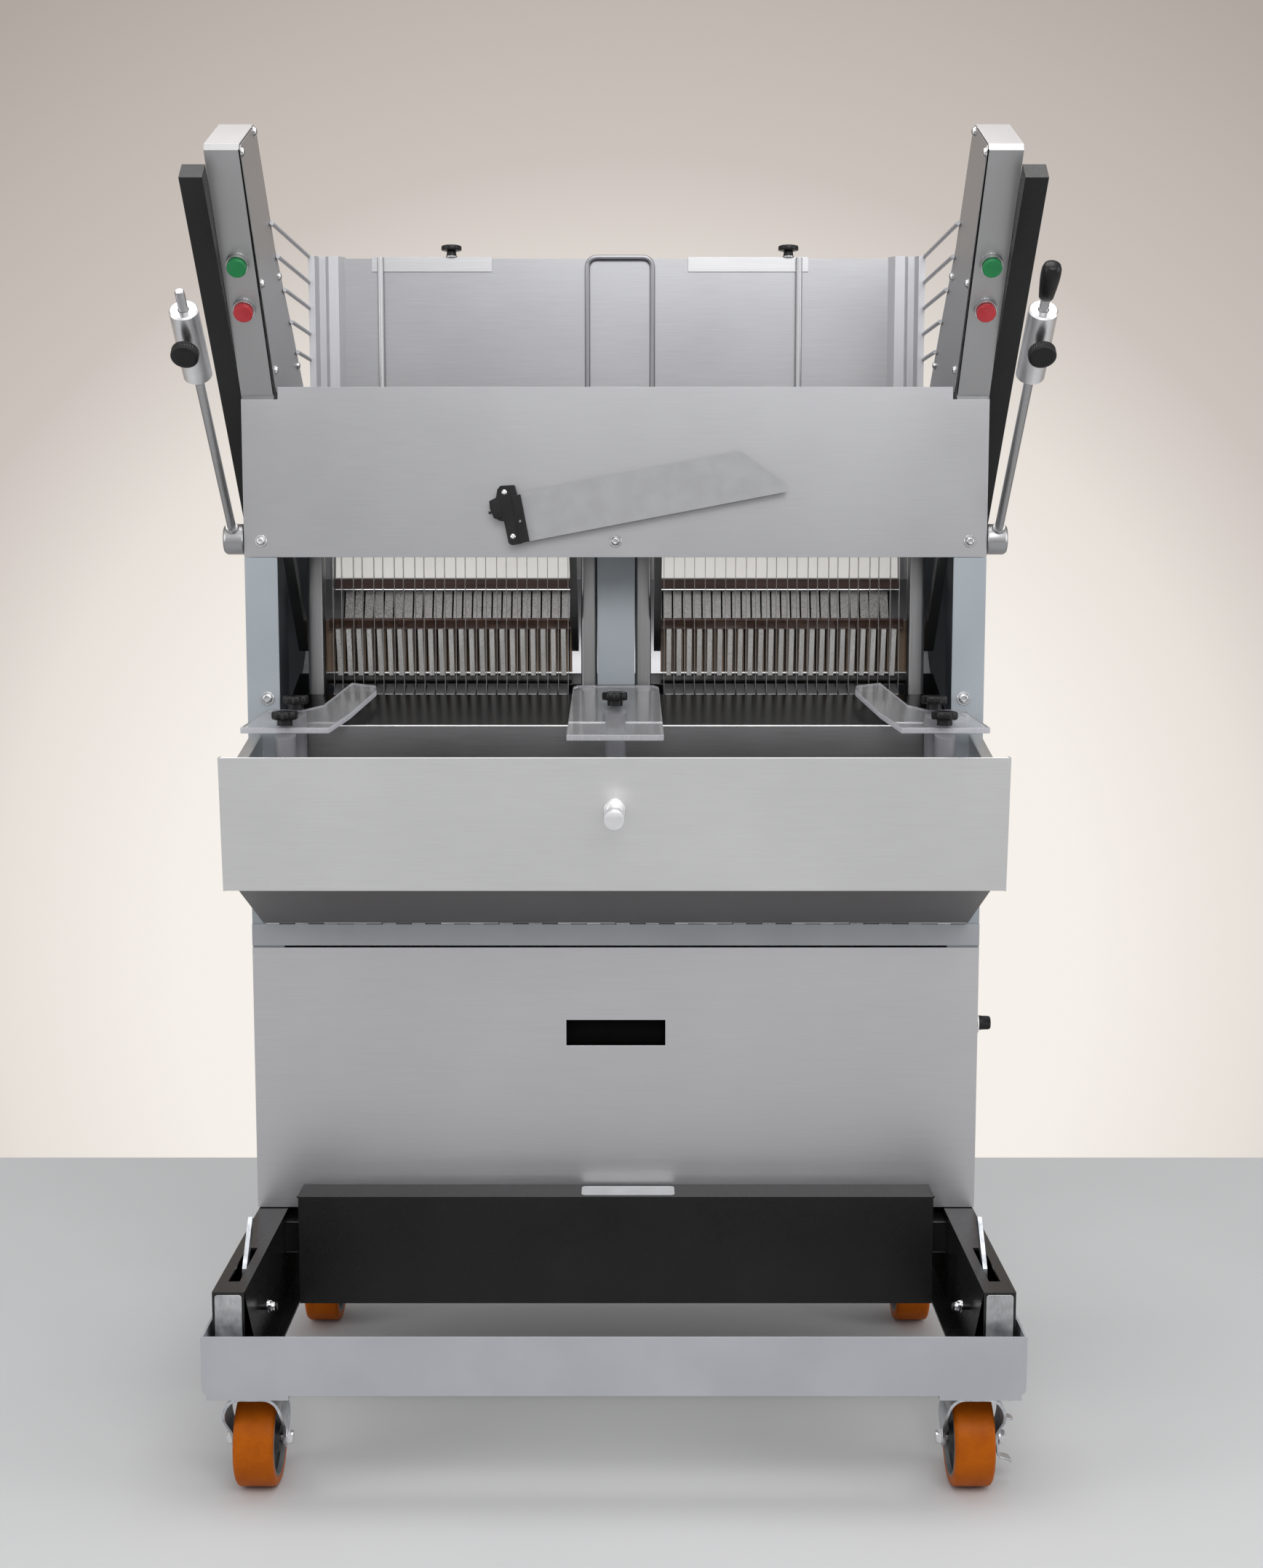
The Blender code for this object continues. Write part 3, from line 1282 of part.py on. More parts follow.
def arm_casing(side):
    body = side_slab(side, arm_outline(), ARM_INNER, CABINET_HALF)
    hollow = side_slab(
        side, inset(arm_outline(), SHEET), ARM_INNER - OVERRUN, CABINET_HALF - SHEET
    )
    body = cut(body, hollow)
    boss = rod(
        (side * (CABINET_HALF - SHAFT_BOSS_DEPTH), PIVOT_Y, PIVOT_Z),
        (side * (CABINET_HALF - WELD), PIVOT_Y, PIVOT_Z),
        SHAFT_BOSS_RADIUS,
    )
    body = joined(body, boss, frame_guide(side, UPPER_GUIDE_BOTTOM, CABINET_HALF - WELD))
    bore = rod(
        (side * (CABINET_HALF - SHAFT_BOSS_DEPTH - OVERRUN), PIVOT_Y, PIVOT_Z),
        (side * (CABINET_HALF + OVERRUN), PIVOT_Y, PIVOT_Z),
        SHAFT_RADIUS + RUNNING,
    )
    body = cut(body, bore)
    for along in (RED_BUTTON_ALONG, GREEN_BUTTON_ALONG):
        collar = rod(
            button_place(side, along, -WELD),
            button_place(side, along, COLLAR_HEIGHT),
            BUTTON_RADIUS + RUNNING + COLLAR_WALL,
            24,
        )
        bore = rod(
            button_place(side, along, -OVERRUN / 2),
            button_place(side, along, OVERRUN),
            BUTTON_STEM_RADIUS + RUNNING,
        )
        seat = rod(
            button_place(side, along, COLLAR_HEIGHT - BUTTON_CAP + COLLAR_WALL),
            button_place(side, along, OVERRUN),
            BUTTON_RADIUS + RUNNING,
            24,
        )
        body = cut(joined(body, collar), bore, seat)
    return body


def hood_casing():
    crest = ARM_INNER - HOOD_SIDE_GAP
    edge = ARM_INNER + WELD
    shoulder = ARM_FOOT_Z - ARM_FOOT_Y
    outline = [
        (-edge, HOOD_BOTTOM),
        (edge, HOOD_BOTTOM),
        (edge, shoulder),
        (crest, shoulder),
        (crest, HOOD_TOP),
        (-crest, HOOD_TOP),
        (-crest, shoulder),
        (-edge, shoulder),
    ]
    body = extruded(outline, "XZ", 0, SHEET)
    fold = box((-crest + WELD, WELD, HOOD_TOP - SHEET), (crest - WELD, HOOD_FOLD, HOOD_TOP - WELD))
    clamp_edge = -FLAP_THICK / 2 - SEAT
    clamp = box(
        (clamp_edge - CLAMP_WIDTH, -CLAMP_DEPTH - FLAP_Y, -CLAMP_HEIGHT / 2),
        (clamp_edge, WELD - FLAP_Y, CLAMP_HEIGHT / 2),
    )
    clamp = moved(clamp, FLAP_PLACE)
    body = joined(body, fold, clamp)
    body = joined(body, arm_casing(-1), arm_casing(1))
    finished("hood_casing", body, STAINLESS)


def arm_cover(name, side):
    """The plate that closes the inner side of an arm above the hood."""
    outline = [point for point in inset(arm_outline(), SHEET) if point[1] > COVER_BOTTOM]
    first = outline.index(min(outline, key=lambda point: (point[1], -point[0])))
    outline = outline[first:] + outline[:first]
    foot_back = (ARM_LOW_Y - OVERRUN / 2, COVER_BOTTOM)
    foot_front = (ARM_FOOT_Y + OVERRUN / 2, COVER_BOTTOM)
    body = side_slab(
        side,
        [foot_front, foot_back, *outline],
        ARM_INNER - COVER_SHEET - SEAT,
        ARM_INNER - SEAT,
    )
    finished(name, body, STAINLESS)


def button(name, side, along, finish):
    """A push button: its cap stands proud in the collar and its stem runs through the arm's face."""
    cap_base = BUTTON_PROUD - BUTTON_CAP
    cap = rod(
        button_place(side, along, cap_base),
        button_place(side, along, BUTTON_PROUD),
        BUTTON_RADIUS,
        24,
    )
    stem = rod(
        button_place(side, along, cap_base - BUTTON_STEM),
        button_place(side, along, cap_base + WELD),
        BUTTON_STEM_RADIUS,
        16,
    )
    finished(name, joined(cap, stem), finish, button_place(side, along, 0))


# Clear flap
def flap():
    """The clear flap with its hinge strip: drawn level, then turned to its lean."""
    half = FLAP_HEIGHT / 2
    outline = [
        (0, -half),
        (FLAP_BOTTOM_LENGTH, -half),
        (FLAP_BOTTOM_LENGTH, -half + FLAP_NOSE),
        (FLAP_TOP_LENGTH, half),
        (0, half),
    ]
    body = extruded(outline, "XZ", -FLAP_THICK / 2, FLAP_THICK / 2)
    barrel = rod((0, 0, -half + WELD), (0, 0, half - WELD), FLAP_THICK / 2 - WELD / 4, 16)
    body = moved(joined(body, barrel), FLAP_PLACE)
    finished("flap", body, CLEAR_PLASTIC, (FLAP_AXIS_X, FLAP_Y, FLAP_AXIS_Z))


# Black stays
def stay_line(y):
    return STAY_TOP_Z + (y - STAY_TOP_Y) * (STAY_LOW_Z - STAY_TOP_Z) / (STAY_LOW_Y - STAY_TOP_Y)


def stay_frame():
    back = CABINET_DEPTH + SEAT + SHEET + SEAT
    middle = back + STAY_SIDE / 2
    line = [(STAY_TOP_Y, STAY_TOP_Z), (middle, stay_line(middle))]
    outer = OUTSIDE + STAY_SIDE
    cross_z = stay_line(middle)
    half = STAY_SIDE / 2
    body = box(
        (-outer + WELD, back, cross_z - half), (outer - WELD, back + STAY_SIDE, cross_z + half)
    )
    for side in SIDES.values():
        body = joined(body, side_slab(side, strip(line, STAY_SIDE), OUTSIDE, outer))
    bore = half - STAY_WALL
    cross_bore = box(
        (-outer - OVERRUN, back + STAY_WALL, cross_z - bore),
        (outer + OVERRUN, back + STAY_SIDE - STAY_WALL, cross_z + bore),
    )
    finished("stay_frame", cut(body, cross_bore), BLACK_PAINT)


# Levers with their weights
def on_lever(side, along, out=0.0):
    """A point beside a lever's rod: along it from the pivot, and out square to it."""
    return Vector((side * LEVER_X, PIVOT_Y, PIVOT_Z)) + LEVER_ALONG * along + SCREW_OUT * out


def comb_arm(side, start, thick):
    end = start + thick
    board_middle = (BOARD_FRONT + BOARD_THICK / 2, (BOARD_BOTTOM + BOARD_TOP) / 2)
    bar = side_slab(side, strip([(PIVOT_Y, PIVOT_Z), board_middle], COMB_ARM_WIDTH), start, end)
    hub = rod(
        (side * start, PIVOT_Y, PIVOT_Z), (side * end, PIVOT_Y, PIVOT_Z), ARM_HUB_RADIUS
    )
    return joined(bar, hub)


def lever(name, side):
    """A lever's boss and rod: the right one carries the cross shaft with the combs' arms."""
    start = side * OUTSIDE
    end = side * (OUTSIDE + LEVER_BOSS_LENGTH)
    body = rod((start, PIVOT_Y, PIVOT_Z), (end, PIVOT_Y, PIVOT_Z), LEVER_BOSS_RADIUS, 28)
    body = joined(body, rod(on_lever(side, SHEET), on_lever(side, LEVER_LENGTH), LEVER_ROD_RADIUS, 16))
    if side > 0:
        far = -(OUTSIDE + LEVER_BOSS_LENGTH)
        shaft = rod((far, PIVOT_Y, PIVOT_Z), (start + WELD, PIVOT_Y, PIVOT_Z), SHAFT_RADIUS)
        body = joined(body, shaft)
        for bay in SIDES.values():
            body = joined(
                body,
                comb_arm(bay, INNER_ARM_START, INNER_ARM_THICK),
                comb_arm(bay, OUTER_ARM_START, OUTER_ARM_THICK),
            )
    else:
        bore = rod(
            (start + OVERRUN, PIVOT_Y, PIVOT_Z), (end - OVERRUN, PIVOT_Y, PIVOT_Z), SHAFT_RADIUS + SEAT
        )
        body = cut(body, bore)
    return finished(name, body, ALUMINIUM, (side * OUTSIDE, PIVOT_Y, PIVOT_Z))


def weight(name, side, parent):
    bore = LEVER_ROD_RADIUS + RUNNING
    end = WEIGHT_LENGTH
    profile = [
        (bore, end),
        (WEIGHT_RADIUS - WEIGHT_CHAMFER, end),
        (WEIGHT_RADIUS, end - WEIGHT_CHAMFER),
        (WEIGHT_RADIUS, WEIGHT_CHAMFER),
        (WEIGHT_RADIUS - WEIGHT_CHAMFER, 0),
        (bore, 0),
    ]
    foot = on_lever(side, WEIGHT_START)
    body = turned(profile, foot, LEVER_ALONG, steps=24, closed=True)
    hole = rod(
        on_lever(side, SCREW_ALONG, SHEET),
        on_lever(side, SCREW_ALONG, WEIGHT_RADIUS + OVERRUN),
        SCREW_SHANK_RADIUS + RUNNING,
        SMALL_SIDES,
    )
    return finished(name, cut(body, hole), ALUMINIUM, foot, parent)


def weight_screw(name, side, parent):
    disc = rod(
        on_lever(side, SCREW_ALONG, SCREW_DISC_START),
        on_lever(side, SCREW_ALONG, SCREW_DISC_START + SCREW_DISC_THICK),
        SCREW_DISC_RADIUS,
        24,
    )
    shank = rod(
        on_lever(side, SCREW_ALONG, SCREW_TIP),
        on_lever(side, SCREW_ALONG, SCREW_DISC_START + WELD),
        SCREW_SHANK_RADIUS,
        SMALL_SIDES,
    )
    place = on_lever(side, SCREW_ALONG, SCREW_DISC_START)
    finished(name, joined(disc, shank), BLACK_PLASTIC, place, parent)


def lever_knob(parent):
    start = LEVER_LENGTH - LEVER_KNOB_OVERLAP
    profile = [
        (0, LEVER_KNOB_LENGTH),
        (LEVER_KNOB_TOP_RADIUS / 2, LEVER_KNOB_LENGTH),
        (LEVER_KNOB_TOP_RADIUS, LEVER_KNOB_LENGTH - LEVER_KNOB_TOP_RADIUS / 2),
        (LEVER_KNOB_TOP_RADIUS, LEVER_KNOB_LENGTH / 2),
        (LEVER_KNOB_BASE_RADIUS, 0),
        (0, 0),
    ]
    body = turned(profile, on_lever(1, start), LEVER_ALONG, steps=24)
    socket = rod(
        on_lever(1, start - OVERRUN),
        on_lever(1, LEVER_LENGTH + SEAT),
        LEVER_ROD_RADIUS + SEAT,
        16,
    )
    finished("lever_knob", cut(body, socket), BLACK_PLASTIC, on_lever(1, start), parent)


def levers():
    for side_name, side in SIDES.items():
        arm = lever(f"lever_{side_name}", side)
        load = weight(f"weight_{side_name}", side, arm)
        weight_screw(f"weight_screw_{side_name}", side, load)
        if side > 0:
            lever_knob(arm)


# Combs, each between two arms of the cross shaft
def comb(name, side):
    board = [
        (BOARD_FRONT, BOARD_BOTTOM),
        (BOARD_FRONT + BOARD_FOOT_THICK, BOARD_BOTTOM),
        (BOARD_FRONT + BOARD_THICK, BOARD_TOP),
        (BOARD_FRONT, BOARD_TOP),
    ]
    inner_end = INNER_ARM_START + INNER_ARM_THICK + SEAT
    body = side_slab(side, board, inner_end, OUTER_ARM_START - SEAT)
    finger = [
        (FINGER_BOTTOM_Y, FINGER_BOTTOM_Z),
        (BOARD_FRONT + WELD, FINGER_BOTTOM_Z),
        (BOARD_FRONT + WELD, FINGER_TOP_Z),
        (FINGER_TOP_Y, FINGER_TOP_Z),
    ]
    fingers = []
    for i in range(BLADES_PER_BAY):
        middle = BLADE_FIRST + BLADE_PITCH * i + BLADE_PITCH / 2
        fingers.append(
            side_slab(side, finger, middle - FINGER_WIDTH / 2, middle + FINGER_WIDTH / 2)
        )
    finished(name, joined(body, gathered(fingers)), BOARD_BROWN, (0, PIVOT_Y, PIVOT_Z))


# Blade frames and their blades
def blade_frame(name, front, rod_x):
    back = front + FRAME_THICK
    low = FRAME_BOTTOM + FRAME_CROSS_BAR
    high = FRAME_TOP - FRAME_CROSS_BAR
    body = box((-FRAME_HALF_WIDTH, front, FRAME_BOTTOM), (FRAME_HALF_WIDTH, back, FRAME_TOP))
    cutters = [
        box(
            (-FRAME_INNER_START, front - OVERRUN, low), (FRAME_INNER_START, back + OVERRUN, high)
        )
    ]
    for side in SIDES.values():
        cutters.append(
            side_box(
                side,
                FRAME_INNER_START + FRAME_SIDE_BAR,
                FRAME_HALF_WIDTH - FRAME_SIDE_BAR,
                front - OVERRUN,
                back + OVERRUN,
                low,
                high,
            )
        )
    body = cut(body, gathered(cutters))
    body = cut(body, *holder_notches(front))
    middle = front + FRAME_THICK / 2
    shoe_bottom = CRANK_Z + ECCENTRIC_RADIUS + STROKE * 2 + FORK_GAP
    for side in SIDES.values():
        x = side * rod_x
        drive = rod(
            (x, middle, shoe_bottom + WELD),
            (x, middle, FRAME_BOTTOM + WELD),
            DRIVE_ROD_RADIUS,
            SMALL_SIDES,
        )
        shoe = box(
            (x - DRIVE_SHOE, front + WELD, shoe_bottom),
            (x + DRIVE_SHOE, back - WELD, shoe_bottom + DRIVE_SHOE_HEIGHT),
        )
        body = joined(body, joined(drive, shoe))
    finished(name, body, STAINLESS)


def holder_front(front):
    """The front face of a frame's blade holders: on the outer side of each frame."""
    return front if front < CRANK_Y - FRAME_THICK / 2 else front + FRAME_THICK - HOLDER_DEPTH


def holder_levels():
    low = FRAME_BOTTOM + FRAME_CROSS_BAR + SHEET
    high = FRAME_TOP - FRAME_CROSS_BAR - SHEET - HOLDER_HEIGHT
    return low, high


def holder_notches(front):
    start = holder_front(front)
    cutters = []
    for level in holder_levels():
        cutters.append(
            box(
                (
                    -FRAME_INNER_START - FRAME_SIDE_BAR - OVERRUN,
                    start - (OVERRUN if start == front else RUNNING),
                    level - RUNNING,
                ),
                (
                    FRAME_INNER_START + FRAME_SIDE_BAR + OVERRUN,
                    start + HOLDER_DEPTH + (RUNNING if start == front else OVERRUN),
                    level + HOLDER_HEIGHT + RUNNING,
                ),
            )
        )
    return cutters


def blades(name, front, first):
    """Every second blade of both bays, hung between an upper and a lower holder."""
    start = holder_front(front)
    reach = FRAME_HALF_WIDTH - FRAME_SIDE_BAR - RUNNING
    low, high = holder_levels()
    holders = [
        box((-reach, start, level), (reach, start + HOLDER_DEPTH, level + HOLDER_HEIGHT))
        for level in (low, high)
    ]
    set_of_blades = []
    for side in SIDES.values():
        for i in range(first, BLADES_PER_BAY, 2):
            x = side * (BLADE_FIRST + BLADE_PITCH * i)
            set_of_blades.append(
                box(
                    (x - BLADE_THICK / 2, front + BLADE_INSET, low + WELD),
                    (
                        x + BLADE_THICK / 2,
                        front + BLADE_INSET + BLADE_DEPTH,
                        high + HOLDER_HEIGHT - WELD,
                    ),
                )
            )
    body = joined(gathered(holders), gathered(set_of_blades))
    finished(name, body, BLADE_STEEL)


# Crankshaft and motor
def crankshaft():
    ends = [(end * CRANK_HALF_LENGTH, CRANK_Y, CRANK_Z) for end in (-1, 1)]
    body = rod(ends[0], ends[1], CRANK_RADIUS)
    for side in SIDES.values():
        for x, lift in ((FRONT_ECCENTRIC_X, STROKE), (REAR_ECCENTRIC_X, -STROKE)):
            start = (side * x - ECCENTRIC_THICK / 2, CRANK_Y + lift, CRANK_Z)
            end = (side * x + ECCENTRIC_THICK / 2, CRANK_Y + lift, CRANK_Z)
            body = joined(body, rod(start, end, ECCENTRIC_RADIUS, 28))
    finished("crankshaft", body, ZINC, (0, CRANK_Y, CRANK_Z))


def motor():
    foot = CHANNEL_TOP - SHEET + SEAT
    body = box(
        (-GEARBOX_HALF_WIDTH, CRANK_Y - GEARBOX_HALF_DEPTH, CRANK_Z - GEARBOX_HALF_HEIGHT),
        (GEARBOX_HALF_WIDTH, CRANK_Y + GEARBOX_HALF_DEPTH, CRANK_Z + GEARBOX_HALF_HEIGHT),
    )
    stand = rod(
        (0, CRANK_Y, foot), (0, CRANK_Y, CRANK_Z - GEARBOX_HALF_HEIGHT + WELD), MOTOR_RADIUS, 28
    )
    bore = rod(
        (-GEARBOX_HALF_WIDTH - OVERRUN, CRANK_Y, CRANK_Z),
        (GEARBOX_HALF_WIDTH + OVERRUN, CRANK_Y, CRANK_Z),
        CRANK_RADIUS + RUNNING,
    )
    finished("motor", cut(joined(body, stand), bore), MOTOR_GREY)


# Hopper back: bent sheet with the curved bed, corrugated strips, wire guards and divider
def bed_angle(y):
    return math.degrees(math.asin((y - PIVOT_Y) / BED_RADIUS)) - 90


def bed_outline():
    """The curved bed round the comb's pivot, then the shelf to the hopper's back."""
    outer = BED_RADIUS + SHEET
    low = bed_angle(TABLE_BACK + BED_CLEAR + SHEET)
    high = -math.degrees(math.asin((PIVOT_Z - HOPPER_BOTTOM) / BED_RADIUS))
    centre = (PIVOT_Y, PIVOT_Z)
    under = arc(centre, outer, low, high, BED_STEPS)
    over = arc(centre, BED_RADIUS, high, low, BED_STEPS)
    back = CABINET_DEPTH
    shelf = [
        (back, HOPPER_BOTTOM - SHEET),
        (back, HOPPER_BOTTOM + WELD),
    ]
    return under + shelf + over


# The corrugated strip from above: shares of its width across and of its depth to the front
STRIP_ACROSS_SHARES = (0.0, 0.18, 0.45, 0.55, 0.73, 0.82, 1.0, 1.0)
STRIP_DEPTH_SHARES = (0.0, 0.67, 0.67, 0.33, 0.33, 1.0, 1.0, 0.0)


def strip_outline(side):
    start = HOPPER_HALF_WIDTH - STRIP_WIDTH
    face = HOPPER_Y + WELD
    places = zip(STRIP_ACROSS_SHARES, STRIP_DEPTH_SHARES, strict=True)
    outline = [(start + across * STRIP_WIDTH, face - depth * STRIP_DEPTH) for across, depth in places]
    return mirrored(outline) if side < 0 else outline


def arm_back_y(z):
    """Where the back edge of an arm lies at a height."""
    corners = [
        (ARM_BEND_Z, ARM_BEND_Y),
        (ARM_MID_Z, ARM_MID_Y),
        (ARM_LOW_Z, ARM_LOW_Y),
    ]
    if z > ARM_BEND_Z:
        corners.insert(0, (ARM_TOP_Z, ARM_TOP_Y))
    for (high, near), (low, far) in zip(corners, corners[1:], strict=False):
        if z >= low:
            return near + (far - near) * (high - z) / (high - low)
    return ARM_LOW_Y


def wire_guard(side):
    x = side * GUARD_ROD_X
    wires = []
    for i in range(GUARD_RODS):
        z = GUARD_ROD_TOP_Z - GUARD_ROD_PITCH * i
        near = arm_back_y(z) - OVERRUN
        wires.append(
            rod((x, near, z), (x, GUARD_ROD_FAR, z), GUARD_ROD_RADIUS, SMALL_SIDES)
        )
    return gathered(wires)


def divider():
    """The bent tube in the middle of the hopper's back, standing on the shelf."""
    left_bend = (DIVIDER_LEFT + DIVIDER_BEND, DIVIDER_TOP - DIVIDER_BEND)
    right_bend = (DIVIDER_RIGHT - DIVIDER_BEND, DIVIDER_TOP - DIVIDER_BEND)
    path = [(DIVIDER_LEFT, HOPPER_BOTTOM)]
    path += arc(left_bend, DIVIDER_BEND, 180, 90, 4)
    path += arc(right_bend, DIVIDER_BEND, 90, 0, 4)
    path += [(DIVIDER_RIGHT, HOPPER_BOTTOM)]
    return bent_tube([(x, DIVIDER_Y, z) for x, z in path], DIVIDER_RADIUS)


def hopper_back():
    body = box(
        (-HOPPER_HALF_WIDTH, HOPPER_Y, HOPPER_BOTTOM - WELD),
        (HOPPER_HALF_WIDTH, HOPPER_Y + SHEET, HOPPER_TOP),
    )
    bed = extruded(bed_outline(), "YZ", -HOPPER_HALF_WIDTH, HOPPER_HALF_WIDTH)
    body = joined(body, bed, divider())
    for side in SIDES.values():
        post = extruded(
            strip_outline(side), "XY", HOPPER_BOTTOM - SHEET / 2, HOPPER_TOP + STRIP_RISE
        )
        body = joined(body, post, wire_guard(side))
    finished("hopper_back", body, STAINLESS)


def loaf_guide(name, x, rod_x, knob_x):
    """A channel that rides on the hopper's top edge, with the rod that holds the loaf's side."""
    start = x - GUIDE_LENGTH / 2
    end = x + GUIDE_LENGTH / 2
    inner_front = HOPPER_Y - RUNNING
    inner_back = HOPPER_Y + SHEET + RUNNING
    roof = HOPPER_TOP + RUNNING
    bottom = HOPPER_TOP - GUIDE_DROP
    outline = [
        (inner_front - GUIDE_SHEET, bottom),
        (inner_front, bottom),
        (inner_front, roof),
        (inner_back, roof),
        (inner_back, bottom),
        (inner_back + GUIDE_SHEET, bottom),
        (inner_back + GUIDE_SHEET, roof + GUIDE_SHEET),
        (inner_front - GUIDE_SHEET, roof + GUIDE_SHEET),
    ]
    body = extruded(outline, "YZ", start, end)
    rod_y = inner_front - GUIDE_SHEET - GUIDE_ROD_RADIUS + WELD
    stick = rod((rod_x, rod_y, GUIDE_ROD_BOTTOM), (rod_x, rod_y, roof), GUIDE_ROD_RADIUS, 16)
    top = roof + GUIDE_SHEET
    seat_y = HOPPER_Y + SHEET / 2
    washer = rod((knob_x, seat_y, top - WELD), (knob_x, seat_y, top + GUIDE_WASHER), GUIDE_WASHER_RADIUS)
    return finished(name, joined(body, stick, washer), STAINLESS, (x, HOPPER_Y, roof))


def guide_knob(name, x, parent):
    base = HOPPER_TOP + RUNNING + GUIDE_SHEET + GUIDE_WASHER + SEAT
    top = GUIDE_KNOB_STEM + GUIDE_KNOB_CAP
    profile = [
        (0, top),
        (GUIDE_KNOB_RADIUS - GUIDE_KNOB_CHAMFER, top),
        (GUIDE_KNOB_RADIUS, top - GUIDE_KNOB_CHAMFER),
        (GUIDE_KNOB_RADIUS, GUIDE_KNOB_STEM),
        (GUIDE_KNOB_STEM_RADIUS, GUIDE_KNOB_STEM),
        (GUIDE_KNOB_STEM_RADIUS, 0),
        (0, 0),
    ]
    centre = (x, HOPPER_Y + SHEET / 2, base)
    finished(name, turned(profile, centre, (0, 0, 1)), BLACK_PLASTIC, centre, parent)


# The whole machine
def bread_slicer():
    wheel_frame()
    casters()
    base_frame()
    lower_front_panel()
    hinge_rail()
    rear_panel()
    switch_knob()
    table()
    clear_guards()
    guard_knobs()
    centre_column()
    tray()
    tray_knob()
    hood_casing()
    flap()
    stay_frame()
    levers()
    for side_name, side in SIDES.items():
        foot_lever(f"foot_lever_{side_name}", side)
        side_frame(f"side_frame_{side_name}", side)
        arm_cover(f"arm_cover_{side_name}", side)
        comb(f"comb_{side_name}", side)
        button(f"green_button_{side_name}", side, GREEN_BUTTON_ALONG, BUTTON_GREEN)
        button(f"red_button_{side_name}", side, RED_BUTTON_ALONG, BUTTON_RED)
    blade_frame("front_blade_frame", FRAME_FRONT_Y, FRONT_ECCENTRIC_X)
    blade_frame("rear_blade_frame", REAR_FRAME_Y, REAR_ECCENTRIC_X)
    blades("front_blades", FRAME_FRONT_Y, 0)
    blades("rear_blades", REAR_FRAME_Y, 1)
    crankshaft()
    motor()
    hopper_back()
    left_guide = loaf_guide("loaf_guide_left", LEFT_GUIDE_X, LEFT_ROD_X, LEFT_KNOB_X)
    right_guide = loaf_guide("loaf_guide_right", RIGHT_GUIDE_X, RIGHT_ROD_X, RIGHT_KNOB_X)
    guide_knob("guide_knob_left", LEFT_KNOB_X, left_guide)
    guide_knob("guide_knob_right", RIGHT_KNOB_X, right_guide)


bread_slicer()
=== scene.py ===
"""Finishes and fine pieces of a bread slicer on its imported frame.

X runs to the right, Y to the back and Z up. The front plane of the cabinet is Y = 0.
Pieces are drawn in millimetres and brought to metres as they are made. Noise scales, bump
depths, lights and the camera are in metres.
"""

import json
from math import asin, cos, fmod, pi, radians, sin, sqrt, tau

import bmesh
import bpy
from mathutils import Matrix, Vector

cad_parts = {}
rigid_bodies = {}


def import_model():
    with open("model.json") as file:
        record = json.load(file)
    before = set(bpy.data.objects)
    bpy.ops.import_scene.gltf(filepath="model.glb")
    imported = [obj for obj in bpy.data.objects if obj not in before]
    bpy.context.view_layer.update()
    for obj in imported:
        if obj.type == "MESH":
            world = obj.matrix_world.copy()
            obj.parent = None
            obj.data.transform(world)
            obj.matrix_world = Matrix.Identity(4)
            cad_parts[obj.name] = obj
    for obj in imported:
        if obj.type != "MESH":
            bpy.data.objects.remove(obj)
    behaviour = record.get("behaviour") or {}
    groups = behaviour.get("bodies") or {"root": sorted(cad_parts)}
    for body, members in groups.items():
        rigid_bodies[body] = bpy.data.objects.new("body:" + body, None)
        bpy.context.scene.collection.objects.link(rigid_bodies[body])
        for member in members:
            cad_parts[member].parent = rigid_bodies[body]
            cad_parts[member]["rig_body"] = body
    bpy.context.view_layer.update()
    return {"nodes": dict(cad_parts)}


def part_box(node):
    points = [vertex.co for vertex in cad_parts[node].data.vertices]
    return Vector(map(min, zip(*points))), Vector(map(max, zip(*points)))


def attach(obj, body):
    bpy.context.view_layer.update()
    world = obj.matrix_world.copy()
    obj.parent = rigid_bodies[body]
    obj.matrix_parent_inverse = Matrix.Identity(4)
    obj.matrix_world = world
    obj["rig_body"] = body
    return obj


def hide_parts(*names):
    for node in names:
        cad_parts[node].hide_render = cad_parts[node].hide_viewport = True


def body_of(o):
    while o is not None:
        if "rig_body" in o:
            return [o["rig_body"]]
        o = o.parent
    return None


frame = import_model()
NODES = frame["nodes"]
SIDES = {"left": -1, "right": 1}

# Places taken over from the solids
MM = 0.001
CABINET_HALF = 520
ARM_MIDDLE = CABINET_HALF - 45 / 2
PIVOT = Vector((0, 14.4, 1246))
LEVER_ALONG = Vector((0, -317.5, 303)).normalized()
SCREW_OUT = Vector((0, -LEVER_ALONG.z, LEVER_ALONG.y))
LEVER_X = 536
LEVER_LENGTH = 438.88
WEIGHT_START = 301
SCREW_ALONG = 370
ARM_FOOT = Vector((0, 4, 1443))
ARM_FACE = Vector((0, -224, 297)).normalized()
ARM_OUT = Vector((0, -ARM_FACE.z, ARM_FACE.y))
BUTTONS_ALONG = {"red": 139, "green": 206}
CLAMP_PLACE = Matrix.Translation((-140.5, 0, 1273.5)) @ Matrix.Rotation(-radians(10.8), 4, "Y")
TABLE_SLOPE = 0.36
TABLE_FRONT_Z = 983
BLADE_FIRST = 70
BLADE_PITCH = 15
BLADES_PER_BAY = 24
BLADES = (BLADE_FIRST, BLADES_PER_BAY)
GAPS = (BLADE_FIRST + BLADE_PITCH / 2, BLADES_PER_BAY - 1)
BED_RADIUS = 256.8
BED_LOW = 1060
BED_HIGH = 1168
HINGE_AXIS = (-3.8, 703.5)
HINGE_HALF = 500
KNUCKLES = 48
KNUCKLE_PITCH = 2 * HINGE_HALF / KNUCKLES
WHEEL_RADIUS = 62.5
CASTER_X = 469.5
CASTER_Y = 317.5
FOOT_PIN = (-234, 222.5)
SWITCH = (12, 553)
PEDAL_Y = -285


